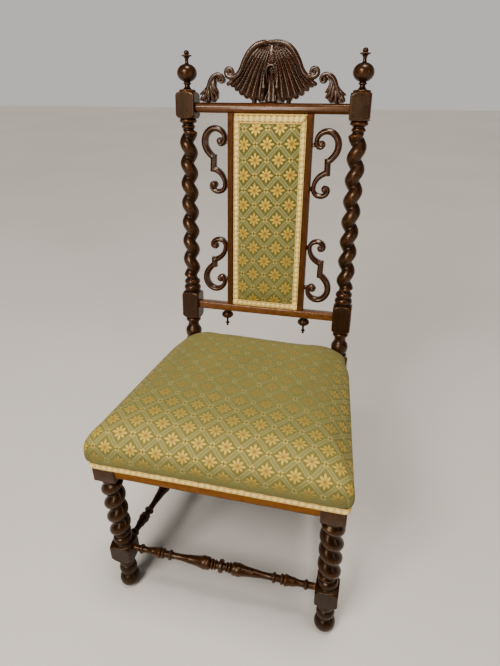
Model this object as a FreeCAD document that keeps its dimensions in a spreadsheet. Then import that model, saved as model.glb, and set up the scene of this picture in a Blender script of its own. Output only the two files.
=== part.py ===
import FreeCAD, Part
import math
import os
import Sketcher

# Low armless nursing chair: turned and twisted walnut frame, sprung seat,
# narrow padded back panel, carved cresting.  Millimetres, +Z up, the sitter
# faces -Y, X = 0 is the plane of symmetry, Z = 0 the floor.

V = FreeCAD.Vector
ROT = FreeCAD.Rotation
PLC = FreeCAD.Placement

doc = FreeCAD.newDocument("nursing_chair")

# ---------------------------------------------------------------- dimensions
DIMS = {
    # frame position
    "origin_y": 219.65,          # front leg axes to the middle of the footprint
    # front legs
    "leg_x": 208.5, "leg_block": 43.6, "leg_top": 376.0, "leg_block_low": 312.0,
    "leg_foot_rad": 20.7, "leg_foot_mid": 17.5,
    "leg_twist_low": 149.5, "leg_twist_high": 302.0, "leg_twist_out": 21.8,
    "leg_twist_in": 10.5, "leg_twist_pitch": 36.5,
    # rear posts
    "post_x": 171.5, "post_y": 369.97, "post_z": 330.0, "post_rake": 7.198,
    "post_block": 39.0, "post_seat_block": 40.0, "post_seat_mid": 372.5,
    "post_seat_low": 312.0, "post_seat_high": 387.0,
    "post_twist_low": 219.0, "post_twist_high": 534.0, "post_twist_out": 18.4,
    "post_twist_in": 7.6, "post_twist_pitch": 40.8,
    "post_block_low": 125.5, "post_block_mid": 188.0,
    "post_block_top": 553.4, "post_block_end": 603.5,
    "foot_front": 417.0, "foot_rear": 449.0,
    # seat rails
    "rail_low": 324.0, "rail_high": 376.0, "rail_thick": 22.0,
    "front_rail_face": -19.0, "front_rail_half": 186.7,
    "rear_rail_half": 151.5, "rear_rail_face": 361.5,
    "tenon_low": 333.0, "tenon_high": 367.0, "tenon_thick": 10.0,
    "front_tenon": 24.0, "side_tenon": 19.0, "rear_tenon": 16.0,
    "side_front_out": 227.3, "side_front_in": 205.3,
    "side_rear_out": 188.5, "side_rear_in": 166.5,
    # stretchers
    "front_stretcher_z": 114.0, "side_stretcher_z": 106.0,
    "rear_stretcher_z": 150.0, "stretcher_tenon_rad": 5.0, "stretcher_tenon": 14.5,
    # back, measured along the rake from the seat level
    "crest_rail_low": 565.0, "crest_rail_high": 584.3, "crest_rail_half": 152.0,
    "back_rail_low": 151.3, "back_rail_high": 166.9, "back_rail_half": 152.0,
    "back_rail_front": -12.0, "crest_rail_back": 12.0, "back_rail_back": 10.0,
    "back_tenon": 18.0,
    "stile_in": 73.6, "stile_out": 85.3, "stile_ledge": 61.6,
    "stile_front": -10.5, "stile_back": 9.5, "ledge_front": -4.5,
    "stile_tenon": 9.5, "batten_tall": 15.0,
    # carving
    "crest_thick": 22.0, "leaf_thick": 18.0, "bracket_thick": 14.0,
    "scroll_big": 28.5, "scroll_small": 20.0, "scroll_band": 12.5, "scroll_eye": 9.6,
    # upholstery
    "gimp_low": 346.0, "gimp_high": 357.0, "gimp_thick": 2.6,
    "cover_thick": 1.6, "web_thick": 1.8, "web_wide": 48.0, "cloth_thick": 1.0,
    "hessian_thick": 1.2, "spring_wire": 3.2, "spring_rad": 31.0, "spring_waist": 22.0,
    "spring_turns": 4.5, "hessian_top": 398.0,
    "panel_gimp": 12.0, "panel_gimp_top": 17.0, "panel_gimp_thick": 2.2,
    "pad_thick": 6.5,
    # fixings
    "dowel_rad": 4.0, "dowel_long": 26.0, "bracket_dowel_rad": 2.5, "bracket_dowel_long": 15.0,
    "screw_rad": 2.0, "screw_long": 26.0, "screw_head": 4.0, "tack_rad": 1.0, "tack_long": 12.0,
    "tack_head": 3.0,
}

# turned profiles: radius, height along the axis, sagitta of the curve to the next point
PROFILES = {
    "finial": [(0, -14, 0), (4.9, -14, 0), (4.9, 0, 0), (16.2, 0, 0.9), (16.2, 3.6, 0), (13.0, 3.6, 0),
               (5.3, 9.6, 0), (5.3, 12.4, 0), (7.4, 13.4, 0.6), (7.4, 16.4, 0), (6.5, 17.2, 0),
               (12.6, 20.6, 0), (17.0, 25.0, 0), (19.4, 30.4, 0), (19.7, 33.3, 0), (19.4, 36.2, 0), (17.0, 41.6, 0),
               (12.6, 46.0, 0), (7.4, 48.7, 0), (4.2, 49.6, 0), (3.7, 58.4, 0), (5.0, 60.4, 0), (9.4, 62.3, 0.7),
               (9.4, 65.2, 0), (3.7, 66.2, 0), (4.9, 67.8, 0), (5.2, 69.8, 0), (4.5, 71.8, 0), (2.6, 73.3, 0), (0, 73.7, 0)],
    "pendant": [(0, -40.5, 1.4), (2.9, -36.2, 0), (2.0, -35.4, 0), (4.4, -33.8, 0.5), (4.4, -31.6, 0),
                (2.3, -29.0, 0), (2.4, -21.0, 0), (4.2, -20.2, 2.2), (13.0, -12.4, 2.2), (5.4, -4.6, 0),
                (4.6, -3.0, 0), (6.4, -2.4, 0), (6.4, 0, 0), (3.9, 0, 0), (3.9, 9, 0), (0, 9, 0)],
    "spindle": [(0, -201.2, 0), (5.0, -201.2, 0), (5.0, -186.7, 0), (6.6, -186.7, 0), (6.6, -172.6, 0),
                (8.2, -171.6, 1.6), (8.2, -165.4, 0), (6.4, -164.6, 0), (6.2, -158, -1.2), (11.2, -131, 0.8),
                (9.6, -126.6, 0), (7.8, -126.0, 0), (9.0, -125.2, 1.6), (9.0, -119.6, 0), (7.2, -118.8, 0),
                (7.2, -110.6, 0), (9.0, -109.6, 1.7), (9.0, -103.8, 0), (6.6, -103.0, 0), (6.5, -97, -1.6),
                (11.0, -48, 2.2), (10.8, -22.6, 0), (8.0, -21.4, 0), (9.2, -20.4, 1.2), (9.2, -16.0, 0),
                (7.2, -15.2, 0), (8.6, -14.2, 1.0), (8.6, -10.2, 0), (7.2, -9.4, 0), (7.2, -4.6, 0),
                (11.4, -3.8, 1.8), (11.4, 3.8, 0), (7.2, 4.6, 0), (7.2, 9.4, 0), (8.6, 10.2, 1.0),
                (8.6, 14.2, 0), (7.2, 15.2, 0), (9.2, 16.0, 1.2), (9.2, 20.4, 0), (8.0, 21.4, 0),
                (10.8, 22.6, 2.2), (11.0, 48, -1.6), (6.5, 97, 0), (6.6, 103.0, 0), (9.0, 103.8, 1.7),
                (9.0, 109.6, 0), (7.2, 110.6, 0), (7.2, 118.8, 0), (9.0, 119.6, 1.6), (9.0, 125.2, 0),
                (7.8, 126.0, 0), (9.6, 126.6, 0.8), (11.2, 131, -1.2), (6.2, 158, 0), (6.4, 164.6, 0),
                (8.2, 165.4, 1.6), (8.2, 171.6, 0), (6.6, 172.6, 0), (6.6, 186.7, 0), (5.0, 186.7, 0),
                (5.0, 201.2, 0), (0, 201.2, 0)],
    "rear_bar": [(0, -166.0, 0), (5.0, -166.0, 0), (5.0, -151.5, 0), (6.4, -151.5, 0), (6.4, -140, 0.8),
                 (9.6, -40, 0), (9.6, -6, 0), (9.6, -4.0, 1.6), (9.6, 4.0, 0), (9.6, 6, 0),
                 (9.6, 40, 0.8), (6.4, 140, 0), (6.4, 151.5, 0), (5.0, 151.5, 0), (5.0, 166.0, 0), (0, 166.0, 0)],
}

sheet = doc.addObject("Spreadsheet::Sheet", "dims")
ROWS = {}


def put(alias, value):
    row = len(ROWS) + 1
    sheet.set("A%d" % row, alias)
    sheet.set("B%d" % row, "%.4f" % value)
    sheet.setAlias("B%d" % row, alias)
    ROWS[alias] = float("%.4f" % value)


for name in DIMS:
    put(name, DIMS[name])
for name in PROFILES:
    for i, (rad, high, sag) in enumerate(PROFILES[name]):
        put("%s_r_%d" % (name, i), rad)
        put("%s_z_%d" % (name, i), high)
doc.recompute()


class Size:
    """A number together with the sheet expression that gives it."""

    def __init__(self, value, text):
        self.value = value
        self.text = text

    def join(self, other, sign, flip=False):
        value, text = (other.value, other.text) if isinstance(other, Size) else (float(other), repr(float(other)))
        a, b = ((value, text), (self.value, self.text)) if flip else ((self.value, self.text), (value, text))
        total = {"+": a[0] + b[0], "-": a[0] - b[0], "*": a[0] * b[0]}[sign]
        return Size(total, "(%s %s %s)" % (a[1], sign, b[1]))

    def __add__(self, o): return self.join(o, "+")
    def __radd__(self, o): return self.join(o, "+", True)
    def __sub__(self, o): return self.join(o, "-")
    def __rsub__(self, o): return self.join(o, "-", True)
    def __mul__(self, o): return self.join(o, "*")
    def __rmul__(self, o): return self.join(o, "*", True)
    def __neg__(self): return self.join(-1.0, "*")


def S(alias):
    return Size(float(sheet.get(alias)), "dims.%s" % alias)


def num(x):
    return x.value if isinstance(x, Size) else float(x)


def d(alias):
    return float(sheet.get(alias))


def bind(obj, prop, size):
    if isinstance(size, Size):
        obj.setExpression(prop, size.text)
    else:
        obj.setExpression(prop, repr(float(size)))


# the two frames that pieces are drawn in: the floor frame with its origin at the
# front legs, and the raked frame of the back
FLOOR = PLC(V(0, -d("origin_y"), 0), ROT())
BACK = PLC(V(0, d("post_y") - d("origin_y"), d("post_z")), ROT(V(1, 0, 0), -d("post_rake")))

NODES = []


def node(obj, name):
    obj.Label = name
    NODES.append((name, obj))
    return obj


# ------------------------------------------------------------ sketch builders
def draw(body, role, points, name, lift=0.0):
    """Closed outline of lines and arcs, every corner bound to the sheet.
    A positive sagitta bulges to the right of the direction of travel."""
    sk = body.newObject("Sketcher::SketchObject", name)
    plane = [o for o in body.Origin.OriginFeatures if o.Role == role][0]
    sk.AttachmentSupport = [(plane, "")]
    sk.MapMode = "FlatFace"
    if lift:
        sk.AttachmentOffset = PLC(V(0, 0, lift), ROT())
    n = len(points)
    ends = []
    arcs = []
    for i in range(n):
        x1, y1 = num(points[i][0]), num(points[i][1])
        x2, y2 = num(points[(i + 1) % n][0]), num(points[(i + 1) % n][1])
        sag = points[i][2] if len(points[i]) > 2 else 0.0
        if abs(sag) < 1e-6:
            g = sk.addGeometry(Part.LineSegment(V(x1, y1, 0), V(x2, y2, 0)), False)
            ends.append((g, 1, 2))
        else:
            c = math.hypot(x2 - x1, y2 - y1)
            rad = (c * c / 4 + sag * sag) / (2 * abs(sag))
            nx, ny = -(y2 - y1) / c, (x2 - x1) / c
            side = 1 if sag > 0 else -1
            cx = (x1 + x2) / 2 + side * nx * (rad - abs(sag))
            cy = (y1 + y2) / 2 + side * ny * (rad - abs(sag))
            a1, a2 = math.atan2(y1 - cy, x1 - cx), math.atan2(y2 - cy, x2 - cx)
            lo, hi = (a1, a2) if sag > 0 else (a2, a1)
            while hi <= lo:
                hi += 2 * math.pi
            g = sk.addGeometry(Part.ArcOfCircle(Part.Circle(V(cx, cy, 0), V(0, 0, 1), rad), lo, hi), False)
            ends.append((g, 1, 2) if sag > 0 else (g, 2, 1))
            arcs.append((g, rad))
    cons = []
    for i in range(n):
        j = (i + 1) % n
        cons.append(Sketcher.Constraint("Coincident", ends[i][0], ends[i][2], ends[j][0], ends[j][1]))
    for g, rad in arcs:
        cons.append(Sketcher.Constraint("Radius", g, rad))
    base = len(cons)
    for i in range(n):
        cons.append(Sketcher.Constraint("DistanceX", -1, 1, ends[i][0], ends[i][1], num(points[i][0])))
        cons.append(Sketcher.Constraint("DistanceY", -1, 1, ends[i][0], ends[i][1], num(points[i][1])))
    sk.addConstraint(cons)
    for i in range(n):
        for k in (0, 1):
            if isinstance(points[i][k], Size):
                sk.setExpression("Constraints[%d]" % (base + 2 * i + k), points[i][k].text)
    return sk


def rect(x0, x1, y0, y1):
    return [(x0, y0), (x1, y0), (x1, y1), (x0, y1)]


def new_body(name, placement):
    body = doc.addObject("PartDesign::Body", name)
    body.Placement = placement
    return body


def pad(body, role, points, name, length, both=False, lift=0.0):
    sk = draw(body, role, points, name + "_outline", lift)
    feat = body.newObject("PartDesign::Pad", name)
    feat.Profile = sk
    if both:
        feat.Midplane = True
    feat.Length = num(length)
    bind(feat, "Length", length)
    sk.Visibility = False
    body.Tip = feat
    return feat


def lathe(name, profile, placement):
    body = new_body(name, placement)
    pts = [(S("%s_r_%d" % (profile, i)), S("%s_z_%d" % (profile, i)), p[2]) for i, p in enumerate(PROFILES[profile])]
    sk = draw(body, "XZ_Plane", pts, name + "_profile")
    rev = body.newObject("PartDesign::Revolution", name + "_turning")
    rev.Profile = sk
    rev.ReferenceAxis = (sk, ["V_Axis"])
    rev.Angle = 360.0
    body.Tip = rev
    return body


def tools(name, shapes, placement=None):
    """A set of cutters kept as one object."""
    o = doc.addObject("Part::Feature", name)
    o.Shape = Part.makeCompound(shapes)
    if placement is not None:
        o.Placement = placement
    return o


def cut(base, tool, name):
    o = doc.addObject("Part::Cut", name)
    o.Base = base
    o.Tool = tool
    return o


def mirror(source, name):
    o = doc.addObject("Part::Mirroring", name)
    o.Source = source
    o.Normal = V(1, 0, 0)
    o.Base = V(0, 0, 0)
    return o


def box(x0, x1, y0, y1, z0, z1):
    return Part.makeBox(x1 - x0, y1 - y0, z1 - z0, V(x0, y0, z0))


def rod(rad, start, end):
    a, b = V(*start), V(*end)
    return Part.makeCylinder(rad, (b - a).Length, a, b - a)


def plain_box(name, x0, x1, y0, y1, z0, z1, placement):
    o = doc.addObject("Part::Box", name)
    for prop, lo, hi in (("Length", x0, x1), ("Width", y0, y1), ("Height", z0, z1)):
        size = hi - lo if isinstance(hi, Size) or isinstance(lo, Size) else float(hi) - float(lo)
        setattr(o, prop, num(size))
        bind(o, prop, size)
    o.Placement = placement.multiply(PLC(V(num(x0), num(y0), num(z0)), ROT()))
    return o


def turning(points):
    """Solid of revolution about Z from (radius, height, sagitta) points."""
    edges = []
    n = len(points)
    for i in range(n):
        p, q = points[i], points[(i + 1) % n]
        a, b = V(p[0], 0, p[1]), V(q[0], 0, q[1])
        if (b - a).Length < 1e-6:
            continue
        sag = p[2] if len(p) > 2 else 0.0
        if abs(sag) < 1e-6:
            edges.append(Part.makeLine(a, b))
        else:
            t = (b - a).normalize()
            mid = (V(p[0], 0, p[1]) + V(q[0], 0, q[1])) * 0.5 + V(t.z, 0, -t.x) * sag
            edges.append(Part.Arc(a, mid, b).toShape())
    face = Part.Face(Part.Wire(edges))
    return face.revolve(V(0, 0, 0), V(0, 0, 1), 360)


def twist(inner, outer, pitch, low, high, phase, left_hand):
    """Single-start barley twist: one deep strand wound about Z."""
    pts = []
    for i in range(20):
        a = 2 * math.pi * i / 20
        rad = inner + (outer - inner) * math.sqrt((1 + math.cos(a)) / 2 * 0.98 + 0.02)
        pts.append(V(rad * math.cos(a + phase), rad * math.sin(a + phase), low))
    curve = Part.BSplineCurve()
    curve.interpolate(pts, PeriodicFlag=True)
    axis = Part.Wire([Part.makeLine(V(0, 0, low), V(0, 0, high))])
    helix = Part.makeLongHelix(pitch, high - low, 30, 0, left_hand)
    helix.translate(V(0, 0, low))
    sweep = Part.BRepOffsetAPI.MakePipeShell(axis)
    sweep.setAuxiliarySpine(Part.Wire(helix.Edges), True, 0)
    sweep.add(Part.Wire([curve.toShape()]), False, False)
    sweep.build()
    sweep.makeSolid()
    return sweep.shape()


def squared(half, low, high, start, end):
    """Square block whose corners are turned away towards its two ends."""
    wide = half * math.sqrt(2) + 1.0
    barrel = turning([(0, low), (start, low, 1.6), (wide, low + 10), (wide, high - 10, 1.6), (end, high), (0, high)])
    return box(-half, half, -half, half, low, high).common(barrel)


# ------------------------------------------------------------------ front legs
def front_leg():
    half = d("leg_block") / 2
    fr, fm = d("leg_foot_rad"), d("leg_foot_mid")
    lo, hi = d("leg_twist_low"), d("leg_twist_high")
    r0 = math.sqrt(fr * fr - fm * fm)
    foot_arc = fr - math.sqrt(fr * fr - ((13.4 - r0) ** 2 + 33.3 ** 2) / 4)
    foot = turning([(0, 0), (r0, 0, foot_arc), (13.4, 33.3), (13.8, 38.5), (14.8, 38.5, 3.2), (14.8, 60), (13.8, 60),
                    (13.8, 63.5), (14.8, 63.5, 1.7), (14.8, 78), (13.6, 78), (13.6, 84), (0, 84)])
    low_block = squared(half, 83.5, 130.5, 17.5, 18.0)
    collar = turning([(0, 130), (16.4, 130), (16.4, 132.5), (16.4, 132.5, 2.2), (16.4, 147.5), (13, 147.5), (13, lo + 0.5), (0, lo + 0.5)])
    strand = twist(d("leg_twist_in"), d("leg_twist_out"), d("leg_twist_pitch"), lo, hi, math.radians(-90), False)
    neck = turning([(0, hi - 0.5), (14, hi - 0.5), (18, hi + 2, 1.4), (18, d("leg_block_low") + 0.5), (0, d("leg_block_low") + 0.5)])
    top_block = box(-half, half, -half, half, d("leg_block_low"), d("leg_top"))
    leg = foot.fuse([low_block, collar, strand, neck, top_block]).removeSplitter()
    c = 0.1
    leg.translate(V(-d("leg_x"), 0, 0))
    fy = d("front_rail_face") + d("rail_thick") / 2
    tt = d("tenon_thick") / 2
    inner = -d("leg_x") + half
    cuts = [box(inner - d("front_tenon") - 0.5, inner + 1, fy - tt - c, fy + tt + c, d("tenon_low") - c, d("tenon_high") + c),
            box(SIDE_TX - tt - c, SIDE_TX + tt + c, half - d("side_tenon") - 0.5, half + 1, d("tenon_low") - c, d("tenon_high") + c),
            rod(d("stretcher_tenon_rad") + c, (inner - d("stretcher_tenon") - 0.5, 0, d("front_stretcher_z")), (inner + 1, 0, d("front_stretcher_z")))]
    a, b = side_stretcher_line()
    t = (b - a).normalize()
    cuts.append(Part.makeCylinder(d("stretcher_tenon_rad") + c, 40, a - t * (d("stretcher_tenon") + 0.5), t))
    for s in cuts:
        leg = leg.cut(s)
    leg.translate(V(0, -d("origin_y"), 0))
    return leg


SIDE_TX = -214.5       # middle of the side rail's front tenon
SIDE_RX = -178.0       # middle of its rear tenon


def rear_leg_face(z):
    """Front face of the raked rear leg at a height."""
    front = d("post_seat_mid") - d("post_seat_block") / 2
    return d("foot_front") + (front - d("foot_front")) * z / d("post_seat_low")


def side_stretcher_line():
    z = d("side_stretcher_z")
    return V(-207.4, d("leg_block") / 2, z), V(-172.2, rear_leg_face(z), z)


# ------------------------------------------------------------------ rear posts
def rear_post():
    half = d("post_block") / 2
    lo, hi = d("post_twist_low"), d("post_twist_high")
    b0, b1, b2, b3 = d("post_block_low"), d("post_block_mid"), d("post_block_top"), d("post_block_end")
    vase = turning([(0, 50), (15.5, 50), (15.5, 66), (16.4, 66, 1.0), (16.4, 73.5), (14.0, 74.5, 1.4), (18.6, 88, 1.0),
                    (16.0, 100, -1.2), (12.4, 112), (12.4, 114.5), (14.6, 114.5, 1.8), (14.6, b0 + 0.5), (0, b0 + 0.5)])
    low_block = squared(half, b0, b1, 16.5, 18.0)
    rings = turning([(0, b1 - 0.5), (16.2, b1 - 0.5), (16.2, 190.5, 2.2), (16.2, 203), (14.6, 203), (14.6, 205.5),
                     (15.6, 205.5, 2.1), (15.6, 216), (12.5, 216), (12.5, lo + 0.5), (0, lo + 0.5)])
    strand = twist(d("post_twist_in"), d("post_twist_out"), d("post_twist_pitch"), lo, hi, math.radians(180), True)
    collar = turning([(0, hi - 0.5), (9.0, hi - 0.5), (12.2, 535.6, 1.4), (12.2, 541.6), (11.6, 541.6), (12.0, 543.4, -0.8),
                      (16.4, 546.5, 1.1), (16.4, 552.5), (15, 552.5), (15, b2 + 0.5), (0, b2 + 0.5)])
    top_block = squared(half, b2, b3, 17.5, 17.5)
    upper = vase.fuse([low_block, rings, strand, collar, top_block]).removeSplitter()
    c = 0.1
    bt = d("back_tenon")
    upper = upper.cut(box(half - bt - 0.5, half + 1, -5 - c, 5 + c, d("crest_rail_low") + 3 - c, d("crest_rail_high") - 3 + c))
    upper = upper.cut(box(half - bt - 0.5, half + 1, -4 - c, 4 + c, d("back_rail_low") + 3 - c, d("back_rail_high") - 3 + c))
    upper = upper.cut(rod(5.0, (0, 0, b3 - 14.5), (0, 0, b3 + 1)))
    upper.translate(V(-d("post_x"), 0, 0))
    upper.Placement = BACK.multiply(upper.Placement)
    sb = d("post_seat_block") / 2
    mid, zl, zh = d("post_seat_mid"), d("post_seat_low"), d("post_seat_high")
    outline = [V(0, d("foot_front"), 0), V(0, d("foot_rear"), 0), V(0, mid + sb, zl), V(0, mid + sb, zh),
               V(0, mid - sb, zh), V(0, mid - sb, zl)]
    lower = Part.Face(Part.makePolygon(outline + [outline[0]])).extrude(V(2 * sb, 0, 0))
    lower.translate(V(-d("post_x") - sb, 0, 0))
    tt = d("tenon_thick") / 2
    front = mid - sb
    inner = -d("post_x") + sb
    ry = d("rear_rail_face") + d("rail_thick") / 2
    a, b = side_stretcher_line()
    t = (b - a).normalize()
    z = d("rear_stretcher_z")
    ry2 = rear_bar_y()
    cuts = [box(SIDE_RX - tt - c, SIDE_RX + tt + c, front - 1, front + d("side_tenon") + 0.5, d("tenon_low") - c, d("tenon_high") + c),
            box(inner - d("rear_tenon") - 0.5, inner + 1, ry - tt - c, ry + tt + c, d("tenon_low") - c, d("tenon_high") + c),
            Part.makeCylinder(d("stretcher_tenon_rad") + c, 20 + d("stretcher_tenon") + 0.5, b - t * 20, t),
            # the spindle's plain end is let into the raked face
            Part.makeCylinder(6.7, 20.05, b - t * 20, t),
            rod(d("stretcher_tenon_rad") + c, (inner - d("stretcher_tenon") - 0.5, ry2, z), (inner + 1, ry2, z))]
    for s in cuts:
        lower = lower.cut(s)
    lower.translate(V(0, -d("origin_y"), 0))
    return upper.fuse(lower).removeSplitter()


def rear_bar_y():
    z = d("rear_stretcher_z")
    back = d("post_seat_mid") + d("post_seat_block") / 2
    rear = d("foot_rear") + (back - d("foot_rear")) * z / d("post_seat_low")
    return (rear_leg_face(z) + rear) / 2


leg_l = doc.addObject("Part::Feature", "front_leg_left")
leg_l.Shape = front_leg()
node(leg_l, "front_leg_left")
node(mirror(leg_l, "front_leg_right"), "front_leg_right")
post_l = doc.addObject("Part::Feature", "rear_post_left")
post_l.Shape = rear_post()
node(post_l, "rear_post_left")
node(mirror(post_l, "rear_post_right"), "rear_post_right")

# --------------------------------------------------------------------- finials
fin = lathe("finial_left", "finial", BACK.multiply(PLC(V(-d("post_x"), 0, d("post_block_end")), ROT())))
node(fin, "finial_left")
fin = lathe("finial_right", "finial", BACK.multiply(PLC(V(d("post_x"), 0, d("post_block_end")), ROT())))
node(fin, "finial_right")

# ------------------------------------------------------------------ seat rails
# tack and screw positions are shared by the rails and the fixings
WEB_Z = d("rail_low")
WEB_FB = [-92.0, 0.0, 92.0]                 # straps running front to back, X of each
WEB_SS = [95.0, 185.0, 275.0]               # straps running side to side, Y of each


def side_rail_x(y, outer):
    y0, y1 = d("leg_block") / 2, d("post_seat_mid") - d("post_seat_block") / 2
    a, b = (d("side_front_out"), d("side_rear_out")) if outer else (d("side_front_in"), d("side_rear_in"))
    return a + (b - a) * (y - y0) / (y1 - y0)


TACKS = []
for x in WEB_FB:
    for dx in (-14.0, 14.0):
        TACKS.append((x + dx, d("front_rail_face") + 11.0))
        TACKS.append((x + dx, d("rear_rail_face") + 11.0))
for y in WEB_SS:
    for dy in (-14.0, 14.0):
        for side in (-1, 1):
            xm = (side_rail_x(y + dy, True) + side_rail_x(y + dy, False)) / 2
            TACKS.append((side * xm, y + dy))


def tack_low(x, y):
    """Underside that a tack's head bears on: the strap it holds."""
    on_side = abs(x) > 150
    return WEB_Z - d("web_thick") * (2 if on_side else 1)


def tack_cutters():
    out = []
    for x, y in TACKS:
        out.append(rod(d("tack_rad"), (x, y, WEB_Z - 6), (x, y, tack_low(x, y) + d("tack_long"))))
    return out


def corner_screws():
    """Start, direction of every corner-block screw."""
    out = []
    for sx in (-1, 1):
        for end in (0, 1):
            for k in (0, 1):
                z = 342.0 if k == 0 else 358.0
                if end == 0:
                    cx, cy = sx * 176.0, 26.0
                    t = V(0, -1, 0) if k == 0 else V(sx, 0, 0)
                    p = V(sx * 160.0, 34.0, z) if k == 0 else V(sx * 168.0, 52.0, z)
                else:
                    t = V(0, 1, 0) if k == 0 else V(sx, 0, 0)
                    p = V(sx * 112.0, 330.0, z) if k == 0 else V(sx * 128.0, 308.0, z)
                out.append((p, t))
    return out


def screw_shape(p, t, clearance=0.0):
    rad = d("screw_rad") + clearance
    shank = Part.makeCylinder(rad, d("screw_long"), p, t)
    head = Part.makeCone(d("screw_head") + clearance, rad, 2.4, p, t)
    return shank.fuse(head)


front_rail = new_body("front_rail_blank", FLOOR)
fr0 = S("front_rail_face")
pad(front_rail, "YZ_Plane", rect(fr0, fr0 + S("rail_thick"), S("rail_low"), S("rail_high")), "front_rail_bar", S("front_rail_half") * 2, True)
tmid = fr0 + S("rail_thick") * 0.5
pad(front_rail, "YZ_Plane", rect(tmid - S("tenon_thick") * 0.5, tmid + S("tenon_thick") * 0.5, S("tenon_low"), S("tenon_high")),
    "front_rail_tenons", (S("front_rail_half") + S("front_tenon")) * 2, True)

rear_rail = new_body("rear_rail_blank", FLOOR)
rr0 = S("rear_rail_face")
pad(rear_rail, "YZ_Plane", rect(rr0, rr0 + S("rail_thick"), S("rail_low"), S("rail_high")), "rear_rail_bar", S("rear_rail_half") * 2, True)
tmid = rr0 + S("rail_thick") * 0.5
pad(rear_rail, "YZ_Plane", rect(tmid - S("tenon_thick") * 0.5, tmid + S("tenon_thick") * 0.5, S("tenon_low"), S("tenon_high")),
    "rear_rail_tenons", (S("rear_rail_half") + S("rear_tenon")) * 2, True)

side_rail = new_body("side_rail_blank", FLOOR)
yf = S("leg_block") * 0.5
yr = S("post_seat_mid") - S("post_seat_block") * 0.5
pad(side_rail, "XY_Plane", [(-S("side_front_out"), yf), (-S("side_front_in"), yf), (-S("side_rear_in"), yr), (-S("side_rear_out"), yr)],
    "side_rail_bar", S("rail_high") - S("rail_low"), False, d("rail_low"))
half_t = S("tenon_thick") * 0.5
pad(side_rail, "XY_Plane", rect(SIDE_TX - half_t, SIDE_TX + half_t, yf - S("side_tenon"), yf + 6.0), "side_rail_front_tenon",
    S("tenon_high") - S("tenon_low"), False, d("tenon_low"))
pad(side_rail, "XY_Plane", rect(SIDE_RX - half_t, SIDE_RX + half_t, yr - 6.0, yr + S("side_tenon")), "side_rail_rear_tenon",
    S("tenon_high") - S("tenon_low"), False, d("tenon_low"))
doc.recompute()

holes = tools("rail_fixing_holes", tack_cutters() + [screw_shape(p, t) for p, t in corner_screws()], FLOOR)
node(cut(front_rail, holes, "front_seat_rail"), "front_seat_rail")
node(cut(rear_rail, holes, "rear_seat_rail"), "rear_seat_rail")
side_l = cut(side_rail, holes, "side_seat_rail_left")
node(side_l, "side_seat_rail_left")
node(mirror(side_l, "side_seat_rail_right"), "side_seat_rail_right")

# ------------------------------------------------------------------ stretchers
node(lathe("front_stretcher", "spindle", FLOOR.multiply(PLC(V(0, 0, d("front_stretcher_z")), ROT(V(0, 1, 0), 90)))), "front_stretcher")
a, b = side_stretcher_line()
mid = (a + b) * 0.5
aim = ROT(V(0, 0, 1), b - a)
st_l = lathe("side_stretcher_left", "spindle", FLOOR.multiply(PLC(mid, aim)))
node(st_l, "side_stretcher_left")
node(mirror(st_l, "side_stretcher_right"), "side_stretcher_right")
node(lathe("rear_stretcher", "rear_bar", FLOOR.multiply(PLC(V(0, rear_bar_y(), d("rear_stretcher_z")), ROT(V(0, 1, 0), 90)))), "rear_stretcher")

# --------------------------------------------------------------- rails of the back
crest_rail = new_body("crest_rail_blank", BACK)
f0, k0 = S("back_rail_front"), S("crest_rail_back")
lo, hi = S("crest_rail_low"), S("crest_rail_high")
pad(crest_rail, "YZ_Plane", [(f0 + 6.0, lo), (k0, lo), (k0, hi), (f0 + 8.0, hi, 2.1), (f0, hi - 7.5), (f0, lo + 6.0, 1.7)],
    "crest_rail_bar", S("crest_rail_half") * 2, True)
pad(crest_rail, "YZ_Plane", rect(-5.0, 5.0, lo + 3.0, hi - 3.0), "crest_rail_tenons", (S("crest_rail_half") + S("back_tenon")) * 2, True)

back_rail = new_body("back_rail_blank", BACK)
lo2, hi2 = S("back_rail_low"), S("back_rail_high")
pad(back_rail, "YZ_Plane", rect(f0, S("back_rail_back"), lo2, hi2), "back_rail_bar", S("back_rail_half") * 2, True)
pad(back_rail, "YZ_Plane", rect(-4.0, 4.0, lo2 + 3.0, hi2 - 3.0), "back_rail_tenons", (S("back_rail_half") + S("back_tenon")) * 2, True)
doc.recompute()

CREST_DOWELS = [(-34.0, 0.0), (34.0, 0.0), (-128.0, 1.0), (128.0, 1.0)]
PENDANT_X = 88.0
c = 0.1
crest_cut = []
back_cut = []
for sx in (-1, 1):
    x0, x1 = sorted((sx * 67.5, sx * 80.5))
    crest_cut.append(box(x0 - c, x1 + c, -2 - c, 6 + c, d("crest_rail_low") - 1, d("crest_rail_low") + d("stile_tenon") + 0.3))
    back_cut.append(box(x0 - c, x1 + c, -2 - c, 6 + c, d("back_rail_high") - d("stile_tenon") - 0.3, d("back_rail_high") + 1))
    back_cut.append(rod(4.0, (sx * PENDANT_X, 0, d("back_rail_low") - 1), (sx * PENDANT_X, 0, d("back_rail_low") + 9.2)))
for x, y in CREST_DOWELS:
    crest_cut.append(rod(d("dowel_rad"), (x, y, d("crest_rail_high") - 13.2), (x, y, d("crest_rail_high") + 1)))
node(cut(crest_rail, tools("crest_rail_mortises", crest_cut, BACK), "crest_rail"), "crest_rail")
node(cut(back_rail, tools("back_rail_mortises", back_cut, BACK), "lower_back_rail"), "lower_back_rail")

pend = lathe("pendant_left", "pendant", BACK.multiply(PLC(V(-PENDANT_X, 0, d("back_rail_low")), ROT())))
node(pend, "pendant_left")
pend = lathe("pendant_right", "pendant", BACK.multiply(PLC(V(PENDANT_X, 0, d("back_rail_low")), ROT())))
node(pend, "pendant_right")

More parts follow.
